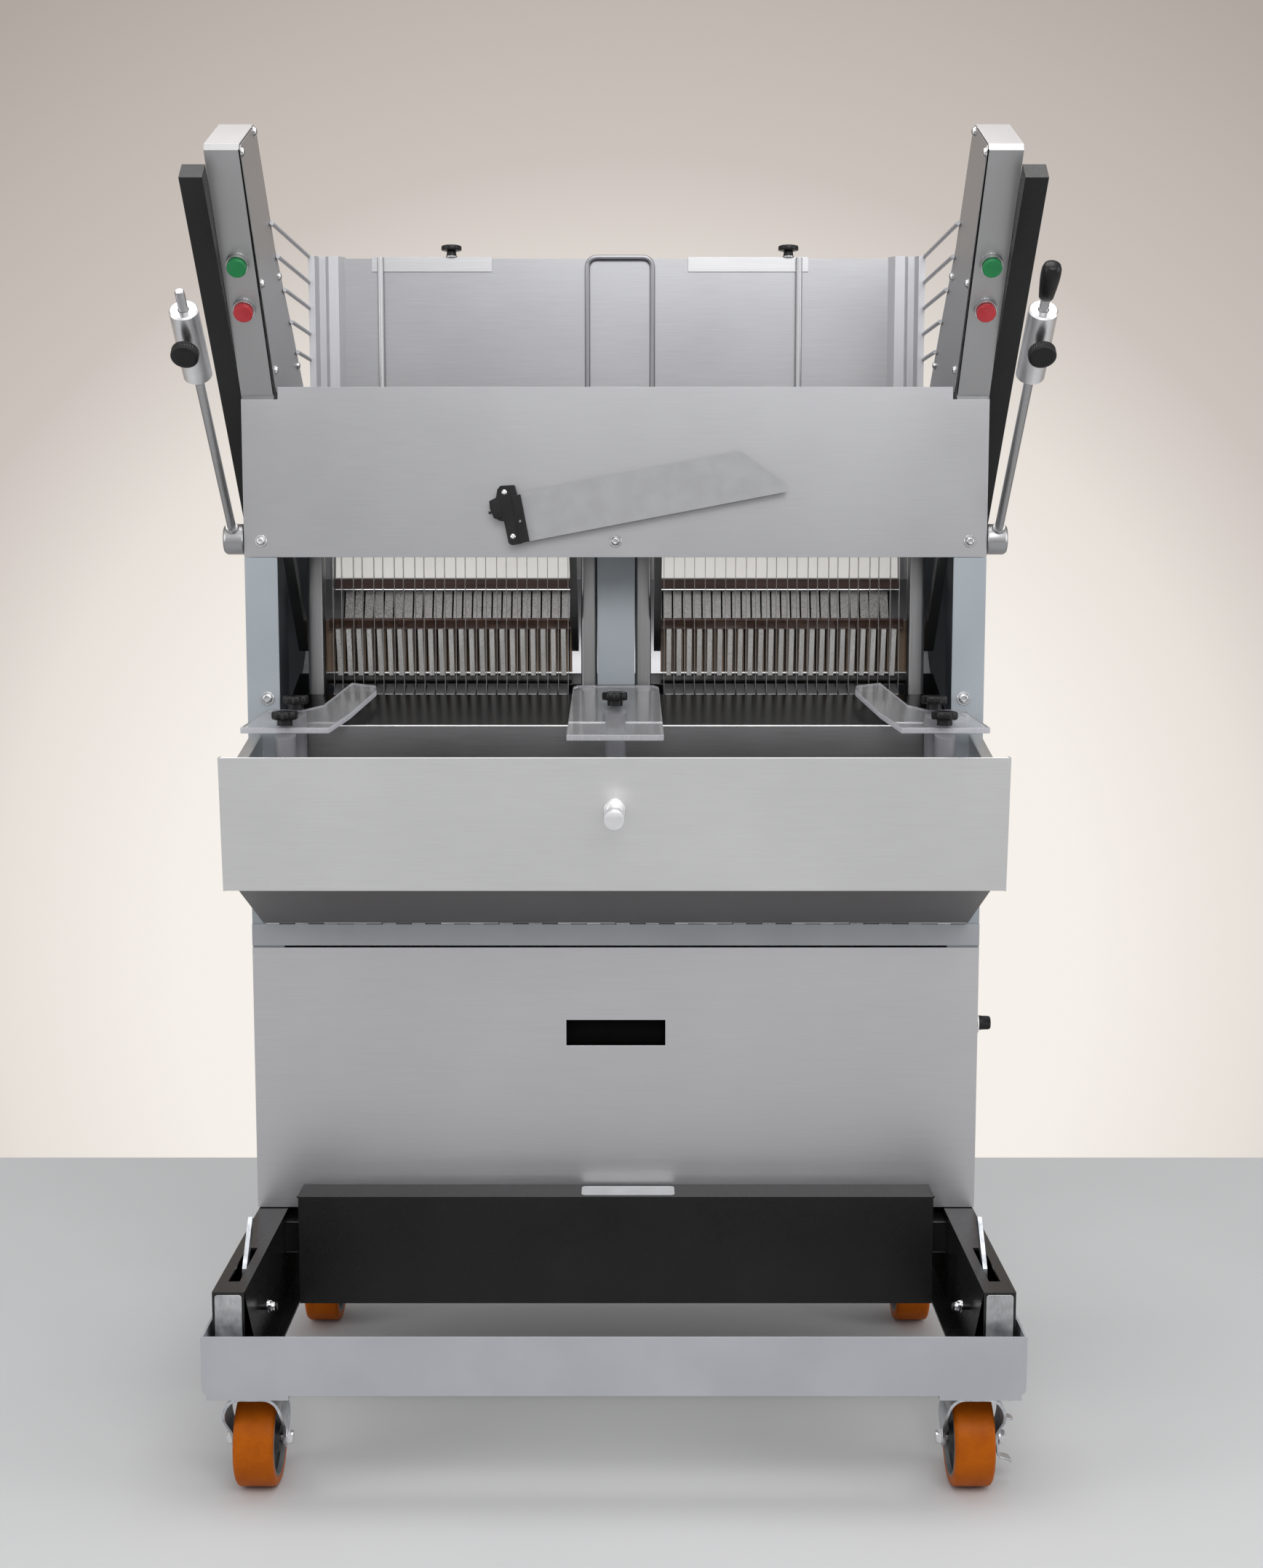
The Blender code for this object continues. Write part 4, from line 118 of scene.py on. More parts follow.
def table_z(y):
    return TABLE_FRONT_Z + TABLE_SLOPE * y


# Node trees
class Wire:
    """A socket in a node tree. Sums and products of wires add their Math nodes."""

    def __init__(self, tree, added=None, socket=None):
        self.tree, self.added, self.socket = tree, added, socket

    def node(self, kind, settings, sockets, output=0):
        """A new node with its settings, then the values or wires of its sockets."""
        added = self.tree.nodes.new(kind)
        for name, value in settings.items():
            setattr(added, name, value)
        for name, value in sockets.items():
            if isinstance(value, Wire):
                self.tree.links.new(value.socket, added.inputs[name])
            else:
                added.inputs[name].default_value = value
        return Wire(self.tree, added, added.outputs[output] if added.outputs else None)

    def out(self, name):
        return Wire(self.tree, self.added, self.added.outputs[name])

    def maths(self, operation, other):
        return self.node("ShaderNodeMath", {"operation": operation}, {0: self, 1: other})

    def __add__(self, other):
        return self.maths("ADD", other)

    def __mul__(self, other):
        return self.maths("MULTIPLY", other)

    def ramp(self, first, *others):
        """A colour from this wire by stops of (place, colour)."""
        ramp = self.node("ShaderNodeValToRGB", {}, {"Fac": self}, "Color")
        stops = ramp.added.color_ramp.elements
        stops.remove(stops[1])
        stops[0].position, stops[0].color = first[0], (*first[1], 1)
        for place, colour in others:
            stops.new(place).color = (*colour, 1)
        return ramp

    def limited(self, low, high, first=0.0, second=1.0):
        """The range low to high spread over first to second and held there."""
        return self.node("ShaderNodeMapRange", {}, {0: self, 1: low, 2: high, 3: first, 4: second})

    def mixed(self, first, second):
        """A colour between two, with this wire as the second one's share."""
        return self.node("ShaderNodeMix", {"data_type": "RGBA"}, {0: self, 6: first, 7: second}, 2)


# Finishes
class Finish:
    """A material with constants on its shader, whose marks follow the piece's own place."""

    def __init__(self, name, **constants):
        self.material = bpy.data.materials.new(name)
        self.material.use_nodes = True
        tree = self.material.node_tree
        self.shader = tree.nodes["Principled BSDF"]
        for label, value in constants.items():
            self.shader.inputs[label.replace("_", " ")].default_value = value
        self.place = Wire(tree).node("ShaderNodeTexCoord", {}, {}, "Object")

    def marks(self, scale, detail=3.0, stretch=None):
        """Noise of a size in marks to the metre, drawn out along an axis by stretch."""
        place = self.place
        if stretch:
            place = place.node("ShaderNodeMapping", {}, {"Vector": place, "Scale": stretch})
        return place.node("ShaderNodeTexNoise", {}, {"Vector": place, "Scale": scale, "Detail": detail})

    def fed(self, share, dark, light, roughness=None, height=None, depth=0.0):
        """The material, with what varies over the surface joined to its shader."""
        links, sockets = share.tree.links, self.shader.inputs
        links.new(share.mixed((*dark, 1), (*light, 1)).socket, sockets["Base Color"])
        if height is not None:
            links.new(roughness.socket, sockets["Roughness"])
            bump = height.node("ShaderNodeBump", {}, {"Height": height, "Distance": depth, "Strength": 1.0})
            links.new(bump.socket, sockets["Normal"])
        return self.material


STREAKS = {"X": (0.012, 1, 1), "Y": (1, 0.012, 1), "Z": (1, 1, 0.012)}


def brushed(name, dark, light, roughness, along="X", spread=0.04, grain=1500, metal=1.0):
    """Sheet metal with a fine grain along one axis and soft cloudy patches."""
    look = Finish(name, Metallic=metal)
    grit = look.marks(grain, 2.0, STREAKS[along])
    coarse = look.marks(grain / 4, 2.0, STREAKS[along])
    cloud = look.marks(4, 2.0)
    share = (grit * 0.5 + coarse * 0.15 + cloud * 0.35).limited(0.30, 0.70)
    rough = (grit * 0.5 + cloud * 0.5).limited(0.35, 0.65, roughness - spread, roughness + spread)
    return look.fed(share, dark, light, rough, grit, 0.00001)


def sprayed(name, dark, light, roughness, peel=380, depth=0.00004, coat=0.0, gloss=0.5):
    """Sprayed paint: a faint orange peel, cloudy colour and a little dust in it."""
    look = Finish(name, Coat_Weight=coat, Coat_Roughness=0.15, Specular_IOR_Level=gloss)
    cloud = look.marks(7, 4.0)
    skin = look.marks(peel, 2.0)
    dust = look.marks(1400, 1.0).limited(0.60, 0.72)
    share = cloud.limited(0.35, 0.65) * 0.85 + dust * 0.15
    rough = (cloud * 0.5 + skin * 0.5).limited(0.35, 0.65, roughness - 0.05, roughness + 0.06)
    return look.fed(share, dark, light, rough, skin, depth)


def powder_coat(name, dark, light):
    """Coarse powder coat."""
    look = Finish(name, Specular_IOR_Level=0.32)
    lumps = look.marks(520)
    cloud = look.marks(9)
    share = (lumps * 0.5 + cloud * 0.5).limited(0.38, 0.66)
    rough = lumps.limited(0.3, 0.7, 0.38, 0.50)
    return look.fed(share, dark, light, rough, lumps, 0.00012)


def galvanised(name, dark, light, roughness):
    """Zinc-plated steel with cloudy patches and handling marks."""
    look = Finish(name, Metallic=1.0)
    patches = look.marks(60, 4.0)
    scratches = look.marks(400, 3.0, (1, 0.15, 0.3))
    share = (patches * 0.65 + scratches * 0.35).limited(0.36, 0.64)
    rough = patches.limited(0.3, 0.7, roughness - 0.08, roughness + 0.12)
    return look.fed(share, dark, light, rough, patches + scratches * 0.5, 0.0001)


def turned_metal(name, dark, light, roughness):
    """Machined or polished metal with fine lathe lines."""
    look = Finish(name, Metallic=1.0)
    lines = look.marks(1600, 2.0, (0.2, 1, 1))
    cloud = look.marks(30, 2.0)
    both = lines * 0.5 + cloud * 0.5
    rough = both.limited(0.35, 0.65, roughness - 0.05, roughness + 0.06)
    return look.fed(both.limited(0.38, 0.62), dark, light, rough, lines, 0.00002)


def cast_tyre(name, dark, light):
    """Cast tyre: deeper where the rolling surface is worn and dusty."""
    look = Finish(name, Specular_IOR_Level=0.12)
    cloud = look.marks(45, 4.0)
    scuffs = look.marks(500, 3.0, (0.25, 1, 1))
    share = (cloud * 0.6 + scuffs * 0.4).limited(0.36, 0.64)
    rough = scuffs.limited(0.35, 0.65, 0.36, 0.54)
    return look.fed(share, dark, light, rough, scuffs, 0.00005)


def moulded(name, dark, light, roughness, depth=0.00006, coat=0.0, gloss=0.5):
    """Moulded plastic with a fine spark-eroded skin."""
    look = Finish(name, Coat_Weight=coat, Coat_Roughness=0.1, Specular_IOR_Level=gloss)
    skin = look.marks(1800, 2.0)
    cloud = look.marks(40, 2.0)
    share = (cloud * 0.6 + skin * 0.4).limited(0.36, 0.64)
    rough = (skin * 0.5 + cloud * 0.5).limited(0.35, 0.65, roughness - 0.05, roughness + 0.07)
    return look.fed(share, dark, light, rough, skin, depth)


def clear_plate(name, tint, roughness, weight):
    """Clear acrylic with faint wiping marks."""
    look = Finish(name, Transmission_Weight=weight, IOR=1.45)
    haze = look.marks(30, 4.0)
    hairs = look.marks(300, 2.0, (0.2, 1, 1))
    rough = (haze * 0.6 + hairs * 0.4).limited(0.35, 0.65, roughness, roughness + 0.08)
    shade = tuple(part * 0.96 for part in tint)
    return look.fed(haze.limited(0.3, 0.7), tint, shade, rough, hairs, 0.00001)


def sawn_edge(name, dark, light):
    """The milky cut edge of an acrylic plate."""
    look = Finish(name, Transmission_Weight=0.45, IOR=1.45)
    lines = look.marks(700, 3.0, (1, 1, 0.15))
    rough = lines.limited(0.3, 0.7, 0.30, 0.55)
    return look.fed(lines.limited(0.3, 0.7), dark, light, rough, lines, 0.0001)


def pressed_board(name, dark, light, along="Z"):
    """Brown laminated board with its grain along one axis."""
    look = Finish(name)
    grain = look.marks(260, 4.0, STREAKS[along])
    stain = look.marks(22, 4.0)
    share = (grain * 0.6 + stain * 0.4).limited(0.34, 0.66)
    return look.fed(share, dark, light, grain.limited(0.3, 0.7, 0.40, 0.62), grain, 0.0002)


steel = brushed("hood_steel", (0.365, 0.365, 0.376), (0.41, 0.41, 0.422), 0.38)
panel_steel = brushed("panel_steel", (0.525, 0.518, 0.533), (0.58, 0.573, 0.588), 0.36)
tray_steel = brushed("tray_steel", (0.62, 0.62, 0.615), (0.69, 0.69, 0.685), 0.42)
# Painted shade: a darker copy of the tray's steel for its downward faces.
shade_steel = brushed("tray_underside", (0.2, 0.19, 0.19), (0.25, 0.24, 0.24), 0.42)
cover_steel = brushed("arm_cover_steel", (0.43, 0.43, 0.435), (0.49, 0.49, 0.495), 0.42, "Y")
# Painted highlight: a lighter copy of the arms' steel for their up-facing tops.
highlight_steel = brushed("arm_top_steel", (0.7, 0.7, 0.71), (0.78, 0.78, 0.79), 0.48, "Y")
# Painted light: a lighter, less mirror-like copy of the hopper's steel for its side folds.
painted_light_fold_steel = brushed("hopper_fold_steel", (0.48, 0.48, 0.5), (0.55, 0.55, 0.57), 0.5, "Z", metal=0.6)
guide_steel = brushed("loaf_guide_steel", (0.4, 0.4, 0.41), (0.5, 0.5, 0.51), 0.34)
apron_steel = brushed("table_apron_steel", (0.19, 0.186, 0.19), (0.25, 0.245, 0.25), 0.34)
hopper_steel = brushed("hopper_steel", (0.31, 0.31, 0.322), (0.37, 0.37, 0.383), 0.32)
table_steel = brushed("table_steel", (0.035, 0.035, 0.036), (0.06, 0.059, 0.059), 0.22, "Y", 0.03)
bar_steel = brushed("frame_bar_steel", (0.22, 0.22, 0.223), (0.29, 0.29, 0.293), 0.38, "Z")
arm_steel = brushed("comb_arm_steel", (0.12, 0.12, 0.12), (0.18, 0.18, 0.18), 0.34, "Z")
rod_steel = brushed("lever_rod_steel", (0.34, 0.34, 0.345), (0.44, 0.44, 0.445), 0.32, "X")
blade_metal = brushed("blade_metal", (0.24, 0.235, 0.23), (0.36, 0.355, 0.35), 0.3, "Z")
# Bright silver fingers, their colour raised further and made less metallic as painted light.
finger_metal = brushed("finger_metal", (0.6, 0.59, 0.57), (0.92, 0.91, 0.89), 0.32, "Z", 0.06, 700, 0.2)
# Shiny brushed bed, its colour raised and made less metallic as painted light.
bed_metal = brushed("bed_metal", (0.52, 0.5, 0.49), (0.95, 0.93, 0.92), 0.3, "Y", 0.05, 500, 0.3)
blue_grey = sprayed("blue_grey_paint", (0.325, 0.36, 0.39), (0.375, 0.41, 0.44), 0.44)
rail_grey = sprayed("rail_paint", (0.375, 0.385, 0.412), (0.43, 0.44, 0.468), 0.4, coat=0.1)
post_grey = sprayed("post_grey", (0.17, 0.17, 0.185), (0.24, 0.24, 0.26), 0.42)
slot_grey = sprayed("slot_plate_grey", (0.075, 0.075, 0.078), (0.11, 0.11, 0.113), 0.45)
stay_black = sprayed(
    "stay_black", (0.005, 0.005, 0.0055), (0.011, 0.011, 0.0115), 0.3, 200, 0.00004, 0.1, 0.3)
box_black = powder_coat("box_powder_black", (0.004, 0.004, 0.0045), (0.009, 0.009, 0.0095))
zinc = galvanised("zinc_plate", (0.4, 0.42, 0.45), (0.72, 0.74, 0.77), 0.34)
race_zinc = galvanised("race_zinc", (0.34, 0.35, 0.37), (0.6, 0.61, 0.63), 0.4)
plug_silver = galvanised("plug_silver", (0.38, 0.39, 0.4), (0.54, 0.55, 0.56), 0.46)
bright = turned_metal("bright_metal", (0.62, 0.62, 0.63), (0.84, 0.84, 0.85), 0.16)
weight_metal = turned_metal("weight_aluminium", (0.76, 0.76, 0.77), (0.9, 0.9, 0.91), 0.34)
screw_metal = turned_metal("screw_metal", (0.38, 0.38, 0.39), (0.62, 0.62, 0.63), 0.26)
tyre = cast_tyre("tyre_orange", (0.37, 0.077, 0.0006), (0.46, 0.106, 0.0012))
hub_grey = moulded("hub_grey", (0.022, 0.022, 0.024), (0.036, 0.036, 0.039), 0.5, gloss=0.3)
rim_grey = sprayed("rim_grey", (0.13, 0.135, 0.14), (0.18, 0.185, 0.19), 0.5)
# Painted shade: dark paint for the inner and downward faces of the caster forks.
shade_zinc = sprayed("fork_inside", (0.03, 0.031, 0.033), (0.048, 0.049, 0.051), 0.55)
knob_black = moulded("knob_black", (0.004, 0.004, 0.0045), (0.01, 0.01, 0.011), 0.32, gloss=0.3)
# Painted shade: near-black for the finger pull recess and the gap at the hinge rail.
pocket_black = moulded("pocket_black", (0.001, 0.001, 0.0012), (0.0025, 0.0025, 0.003), 0.6, gloss=0.05)
ring_metal = turned_metal("button_ring_metal", (0.62, 0.62, 0.62), (0.8, 0.8, 0.8), 0.24)
ring_white = moulded("ring_white", (0.7, 0.7, 0.7), (0.82, 0.82, 0.82), 0.32)
button_green = moulded("button_green", (0.001, 0.17, 0.045), (0.003, 0.23, 0.065), 0.3, 0.00002, 0.1)
button_red = moulded("button_red", (0.4, 0.012, 0.022), (0.52, 0.02, 0.032), 0.28, 0.00002, 0.3)
motor_grey = sprayed("motor_grey", (0.18, 0.2, 0.22), (0.24, 0.26, 0.28), 0.48)
# Painted shade: near-black for seams, slots, grooves and gaps between parts.
gap_black = moulded("gap_black", (0.002, 0.002, 0.002), (0.005, 0.005, 0.005), 0.6, gloss=0.1)
clear = clear_plate("clear_acrylic", (0.97, 0.97, 0.985), 0.04, 0.9)
clear_edge = sawn_edge("clear_edge", (0.62, 0.62, 0.67), (0.8, 0.8, 0.85))
frosted = moulded("frosted_flap", (0.33, 0.33, 0.34), (0.37, 0.37, 0.38), 0.4, 0.000005, 0.15)
smoked = clear_plate("smoked_strip", (0.46, 0.36, 0.33), 0.1, 1.0)
board_brown = pressed_board("board_brown", (0.12, 0.078, 0.05), (0.36, 0.25, 0.17))
bar_brown = pressed_board("bar_brown", (0.05, 0.026, 0.022), (0.105, 0.06, 0.052), "X")
# Painted light: a pale plate that glows by its own emission, though it is no lamp.
painted_glow_plate = moulded("bay_light_plate", (0.8, 0.79, 0.75), (0.9, 0.89, 0.86), 0.45)
for label, value in (("Emission Color", (1.0, 0.98, 0.93, 1)), ("Emission Strength", 0.35)):
    painted_glow_plate.node_tree.nodes["Principled BSDF"].inputs[label].default_value = value
plate_white = moulded("blank_plate", (0.55, 0.56, 0.57), (0.66, 0.67, 0.68), 0.4)


# Stock that the fine pieces are cut from
CORNER_STEPS = 4
PLANES = {
    "YZ": lambda across, up, far: (far, across, up),
    "XZ": lambda across, up, far: (across, far, up),
    "XY": lambda across, up, far: (across, up, far),
}


def facing(direction, foot=(0, 0, 0)):
    """A place at foot with its Z axis along a direction."""
    turn = Vector((0, 0, 1)).rotation_difference(Vector(direction)).to_matrix().to_4x4()
    return Matrix.Translation(Vector(foot)) @ turn


LOBES, LOBE_DEPTH = 7, 2.4
KNURLS, KNURL_DEPTH = 36, 0.7


def section(kind, radius, angle):
    """A turned ring's reach at an angle: round, hexagonal, lobed or knurled."""
    if kind == "hex":
        return radius * cos(pi / 6) / cos(fmod(angle, pi / 3) - pi / 6)
    if kind == "lobed":
        return radius - LOBE_DEPTH * (0.5 + 0.5 * cos(LOBES * angle)) ** 1.5
    if kind == "knurled":
        return radius - KNURL_DEPTH * (0.5 + 0.5 * cos(KNURLS * angle))
    return radius


class Stock:
    """Shapes gathered into one piece. What is added takes the finish number set before it.

    A shape that comes from a node is in metres, and what is drawn here is in millimetres.
    """

    def __init__(self, shape=None):
        self.unit = 1 if shape else MM
        self.shape = shape or bmesh.new()
        self.finish = 0

    def loft(self, rings, closed=False):
        """Skins a list of rings of points. Ends are capped, or the last ring meets the first."""
        rows = [[self.shape.verts.new(point) for point in ring] for ring in rings]
        faces = []
        following = rows[1:] + rows[:1] if closed else rows[1:]
        for one, two in zip(rows, following, strict=False):
            count = max(len(one), len(two))
            for i in range(count):
                j = (i + 1) % count
                corners = [one[i % len(one)], one[j % len(one)], two[j % len(two)], two[i % len(two)]]
                faces.append(self.shape.faces.new(list(dict.fromkeys(corners))))
        if not closed:
            for row in (rows[0], rows[-1]):
                if len(row) > 2:
                    faces.append(self.shape.faces.new(row))
        for face in faces:
            face.material_index = self.finish
        return self

    def prism(self, outline, plane, start, end):
        """A flat outline pulled from start to end along the axis square to its plane."""
        return self.loft([[PLANES[plane](*point, far) for point in outline] for far in (start, end)])

    def box(self, low, high):
        ring = [(low[0], low[1]), (high[0], low[1]), (high[0], high[1]), (low[0], high[1])]
        return self.loft([[(*p, z) for p in ring] for z in (low[2], high[2])])

    def turned(self, profile, foot, direction, sides=24):
        """A profile of (radius, height) or (radius, height, section) turned about a line."""
        place = facing(direction, foot)
        rings = []
        for radius, height, *kind in profile:
            if radius == 0:
                rings.append([place @ Vector((0, 0, height))])
                continue
            ring = []
            for i in range(sides):
                angle = tau * i / sides
                reach = section(kind[0] if kind else "round", radius, angle)
                ring.append(place @ Vector((reach * cos(angle), reach * sin(angle), height)))
            rings.append(ring)
        return self.loft(rings, closed=profile[0][0] > 0 and profile[-1][0] > 0)

    def tube(self, points, radius, sides=12):
        """A round wire or tube along a line of points, with square-cut ends."""
        points = [Vector(point) for point in points]
        rings = []
        across = None
        for i, point in enumerate(points):
            into = (point - points[i - 1]).normalized() if i else None
            away = (points[i + 1] - point).normalized() if i < len(points) - 1 else None
            along = ((into or away) + (away or into)).normalized()
            if across is None:
                across = along.orthogonal().normalized()
            across = (across - along * across.dot(along)).normalized()
            other = along.cross(across)
            stretch = 1 / max(along.dot(away or into), 0.5)
            ring = []
            for j in range(sides):
                angle = tau * j / sides
                ring.append(point + (across * cos(angle) + other * sin(angle)) * radius)
            if into and away and stretch > 1.001:
                bend = (away - into).normalized()
                ring = [p + bend * (p - point).dot(bend) * (stretch - 1) for p in ring]
            rings.append(ring)
        return self.loft(rings)


def rounded(low, high, radius):
    """A rectangle's outline with rounded corners."""
    left, right, foot, top = low[0] + radius, high[0] - radius, low[1] + radius, high[1] - radius
    outline = []
    for x, y, start in ((right, foot, -90), (right, top, 0), (left, top, 90), (left, foot, 180)):
        for i in range(CORNER_STEPS + 1):
            angle = radians(start + 90 * i / CORNER_STEPS)
            outline.append((x + radius * cos(angle), y + radius * sin(angle)))
    return outline


def smooth_line(points):
    """A flowing line through points."""
    drawn = []
    count = len(points)
    for i in range(count - 1):
        a, b, c, d = (Vector(points[min(max(k, 0), count - 1)]) for k in (i - 1, i, i + 1, i + 2))
        for j in range(CORNER_STEPS):
            t = j / CORNER_STEPS
            bent = (2 * a - 5 * b + 4 * c - d) * t * t + (3 * b - a - 3 * c + d) * t**3
            drawn.append(0.5 * (2 * b + (c - a) * t + bent))
    drawn.append(Vector(points[-1]))
    return drawn


def settled(piece):
    """The piece with its modifiers worked into a plain mesh."""
    bpy.context.view_layer.update()
    graph = bpy.context.evaluated_depsgraph_get()
    mesh = bpy.data.meshes.new_from_object(piece.evaluated_get(graph), depsgraph=graph)
    piece.modifiers.clear()
    piece.data = mesh
    mesh.name = piece.name


def linked(name, mesh):
    piece = bpy.data.objects.new(name, mesh)
    bpy.context.scene.collection.objects.link(piece)
    return piece


def made(name, stock, finishes, edge=0, body="machine", node=None, angle=35):
    """A finished piece with its sharp edges rounded, on its body or in its node's place."""
    shape = stock.shape
    bmesh.ops.scale(shape, vec=(stock.unit,) * 3, verts=shape.verts)
    bmesh.ops.recalc_face_normals(shape, faces=shape.faces)
    mesh = bpy.data.meshes.new(name)
    shape.to_mesh(mesh)
    shape.free()
    piece = linked(name, mesh)
    for finish in finishes:
        mesh.materials.append(finish)
    mesh.shade_smooth()
    mesh.set_sharp_from_angle(angle=radians(angle))
    if edge:
        mesh.shade_smooth()
        bevel = piece.modifiers.new("edge", "BEVEL")
        bevel.width = edge * MM
        bevel.segments = 2
        bevel.limit_method = "ANGLE"
        bevel.angle_limit = radians(angle)
        bevel.use_clamp_overlap = True
        even = piece.modifiers.new("even", "WEIGHTED_NORMAL")
        even.keep_sharp = False
        settled(piece)
    if node:
        body = body_of(NODES[node])[0]
    if body:
        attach(piece, body)
    if node:
        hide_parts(node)
    return piece


def softened(node, finishes, edge, chooser=None, trim=None):
    """A CAD node's own shape with rounded edges. chooser gives a face's finish number.

    The faces that trim picks are cut off and the hole closed, for a lug that another piece draws.
    """
    shape = bmesh.new()
    shape.from_mesh(NODES[node].data)
    bmesh.ops.remove_doubles(shape, verts=shape.verts, dist=0.01 * MM)
    if trim:
        cut = [face for face in shape.faces if trim(face.calc_center_median() / MM)]
        bmesh.ops.delete(shape, geom=cut, context="FACES")
        bmesh.ops.holes_fill(shape, edges=[edge for edge in shape.edges if edge.is_boundary], sides=0)
        bmesh.ops.triangulate(shape, faces=shape.faces)
    bmesh.ops.dissolve_limit(shape, angle_limit=radians(0.3), verts=shape.verts, edges=shape.edges)
    for face in shape.faces:
        face.material_index = int(chooser(face.calc_center_median() / MM, face.normal)) if chooser else 0
    made(f"{node}_piece", Stock(shape), finishes, edge, node=node, angle=30)


def carried(node, finish):
    """A CAD node that stays, with its finish."""
    for slot in NODES[node].material_slots:
        slot.material = finish


# A tree that repeats a shape
def repeating_tree():
    """Sets the given shape on each point, its axis along the point's own direction."""
    tree = bpy.data.node_groups.new("fixings", "GeometryNodeTree")
    tree.interface.new_socket("Geometry", in_out="OUTPUT", socket_type="NodeSocketGeometry")
    names = {}
    for label, kind in (("Geometry", "Geometry"), ("Fixing", "Object"), ("Finish", "Material")):
        port = tree.interface.new_socket(label, in_out="INPUT", socket_type=f"NodeSocket{kind}")
        names[label] = port.identifier
    wire = Wire(tree)
    given = wire.node("NodeGroupInput", {}, {})
    sockets = {"Object": given.out("Fixing")}
    fixing = wire.node("GeometryNodeObjectInfo", {"transform_space": "ORIGINAL"}, sockets, "Geometry")
    kind = {"data_type": "FLOAT_VECTOR"}
    outward = wire.node("GeometryNodeInputNamedAttribute", kind, {"Name": "outward"}, "Attribute")
    turn = wire.node("FunctionNodeAlignRotationToVector", {"axis": "Z"}, {"Vector": outward})
    sockets = {"Points": given.out("Geometry"), "Instance": fixing, "Rotation": turn}
    copies = wire.node("GeometryNodeInstanceOnPoints", {}, sockets)
    whole = wire.node("GeometryNodeRealizeInstances", {}, {"Geometry": copies})
    sockets = {"Geometry": whole, "Material": given.out("Finish")}
    dressed = wire.node("GeometryNodeSetMaterial", {}, sockets)
    wire.node("NodeGroupOutput", {}, {"Geometry": dressed})
    return tree, names


REPEATS, PORTS = repeating_tree()


def fixings(name, fixing, places, finish, body="machine"):
    """One fixing repeated at each (point, outward direction)."""
    pattern = made(f"{name}_pattern", fixing, [finish], body=None)
    mesh = bpy.data.meshes.new(name)
    mesh.from_pydata([Vector(point) * MM for point, _ in places], [], [])
    outward = mesh.attributes.new("outward", "FLOAT_VECTOR", "POINT")
    for item, (_, direction) in zip(outward.data, places, strict=True):
        item.vector = Vector(direction).normalized()
    piece = linked(name, mesh)
    repeat = piece.modifiers.new("fixings", "NODES")
    repeat.node_group = REPEATS
    repeat[PORTS["Fixing"]] = pattern
    repeat[PORTS["Finish"]] = finish
    settled(piece)
    bpy.data.objects.remove(pattern, do_unlink=True)
    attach(piece, body)


def row(name, stock, count, step, finish, body="machine"):
    """The stock repeated in a straight row."""
    fixings(name, stock, [(Vector(step) * i, (0, 0, 1)) for i in range(count)], finish, body)


def dome_screw(head, washer, height):
    """A dome-headed screw with a hexagon socket, on a washer."""
    socket = head * 0.42
    profile = [(0, -0.8), (washer, -0.8), (washer, 1), (washer - 0.5, 1.4), (head + 0.1, 1.4), (head, 2.2),
               (head * 0.93, height * 0.72), (head * 0.75, height * 0.93), (socket * 1.25, height),
               (socket * 1.12, height - 0.2, "hex"), (socket * 1.1, height * 0.45, "hex"), (0, height * 0.4)]
    return Stock().turned(profile, (0, 0, 0), (0, 0, 1))


def hex_bolt(reach, height):
    """A hexagon head with its chamfered top, on a washer."""
    profile = [(0, -0.8), (reach * 1.12, -0.8), (reach * 1.12, 1.2), (reach, 1.6), (reach, 1.8, "hex"),
               (reach, height - 1.2, "hex"), (reach * 0.84, height), (0, height + 0.3)]
    return Stock().turned(profile, (0, 0, 0), (0, 0, 1))


def acorn_nut(reach, height):
    """A cap nut: hexagon foot and round dome."""
    dome = [(reach * 0.80 * cos(a), height * 0.45 + height * 0.55 * sin(a)) for a in
            (radians(d) for d in (0, 20, 40, 60, 78))]
    foot = [(0, -0.6), (reach * 1.15, -0.6), (reach * 1.15, 1), (reach, 1.3, "hex"),
            (reach, height * 0.40, "hex"), (reach * 0.84, height * 0.45)]
    return Stock().turned([*foot, *dome, (0, height)], (0, 0, 0), (0, 0, 1))


def lathed(name, profile, foot, direction, sides, finish, node=None, angle=35):
    """A turned shape made one piece."""
    made(name, Stock().turned(profile, foot, direction, sides), [finish], node=node, angle=angle)


def blade_row(name, outline, side, places, half, finish, body="machine", pitch=BLADE_PITCH):
    """An outline drawn out to both sides and repeated over a bay's places, (first, count)."""
    first, count = places
    stock = Stock().prism(outline, "YZ", side * first - half, side * first + half)
    row(name, stock, count, (side * pitch, 0, 0), finish, body)


def spread(side, near, far):
    """Two distances from the middle as low and high places on a side."""
    return sorted((side * near, side * far))


def node_foot(node):
    """The middle of a node's underside."""
    low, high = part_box(node)
    return Vector(((low.x + high.x) / 2, (low.y + high.y) / 2, low.z)) / MM


def sheet_rings(line, half_thick, place, edges):
    """Rings of a bent sheet along a line of (across, height) points. edges gives its front and back."""
    rings = []
    for i, point in enumerate(line):
        before, after = line[max(i - 1, 0)], line[min(i + 1, len(line) - 1)]
        along = (after - before).normalized()
        out = Vector((-along.y, along.x)) * half_thick
        front, back = edges(i, point)
        rings.append([(place + point.x + out.x * face, y, point.y + out.y * face)
                      for face, y in ((1, front), (1, back), (-1, back), (-1, front))])
    return rings


# Casters
def mirrored(half):
    """A profile with its other half, mirrored at height 0."""
    return half + [(r, -h) for r, h in reversed(half)]


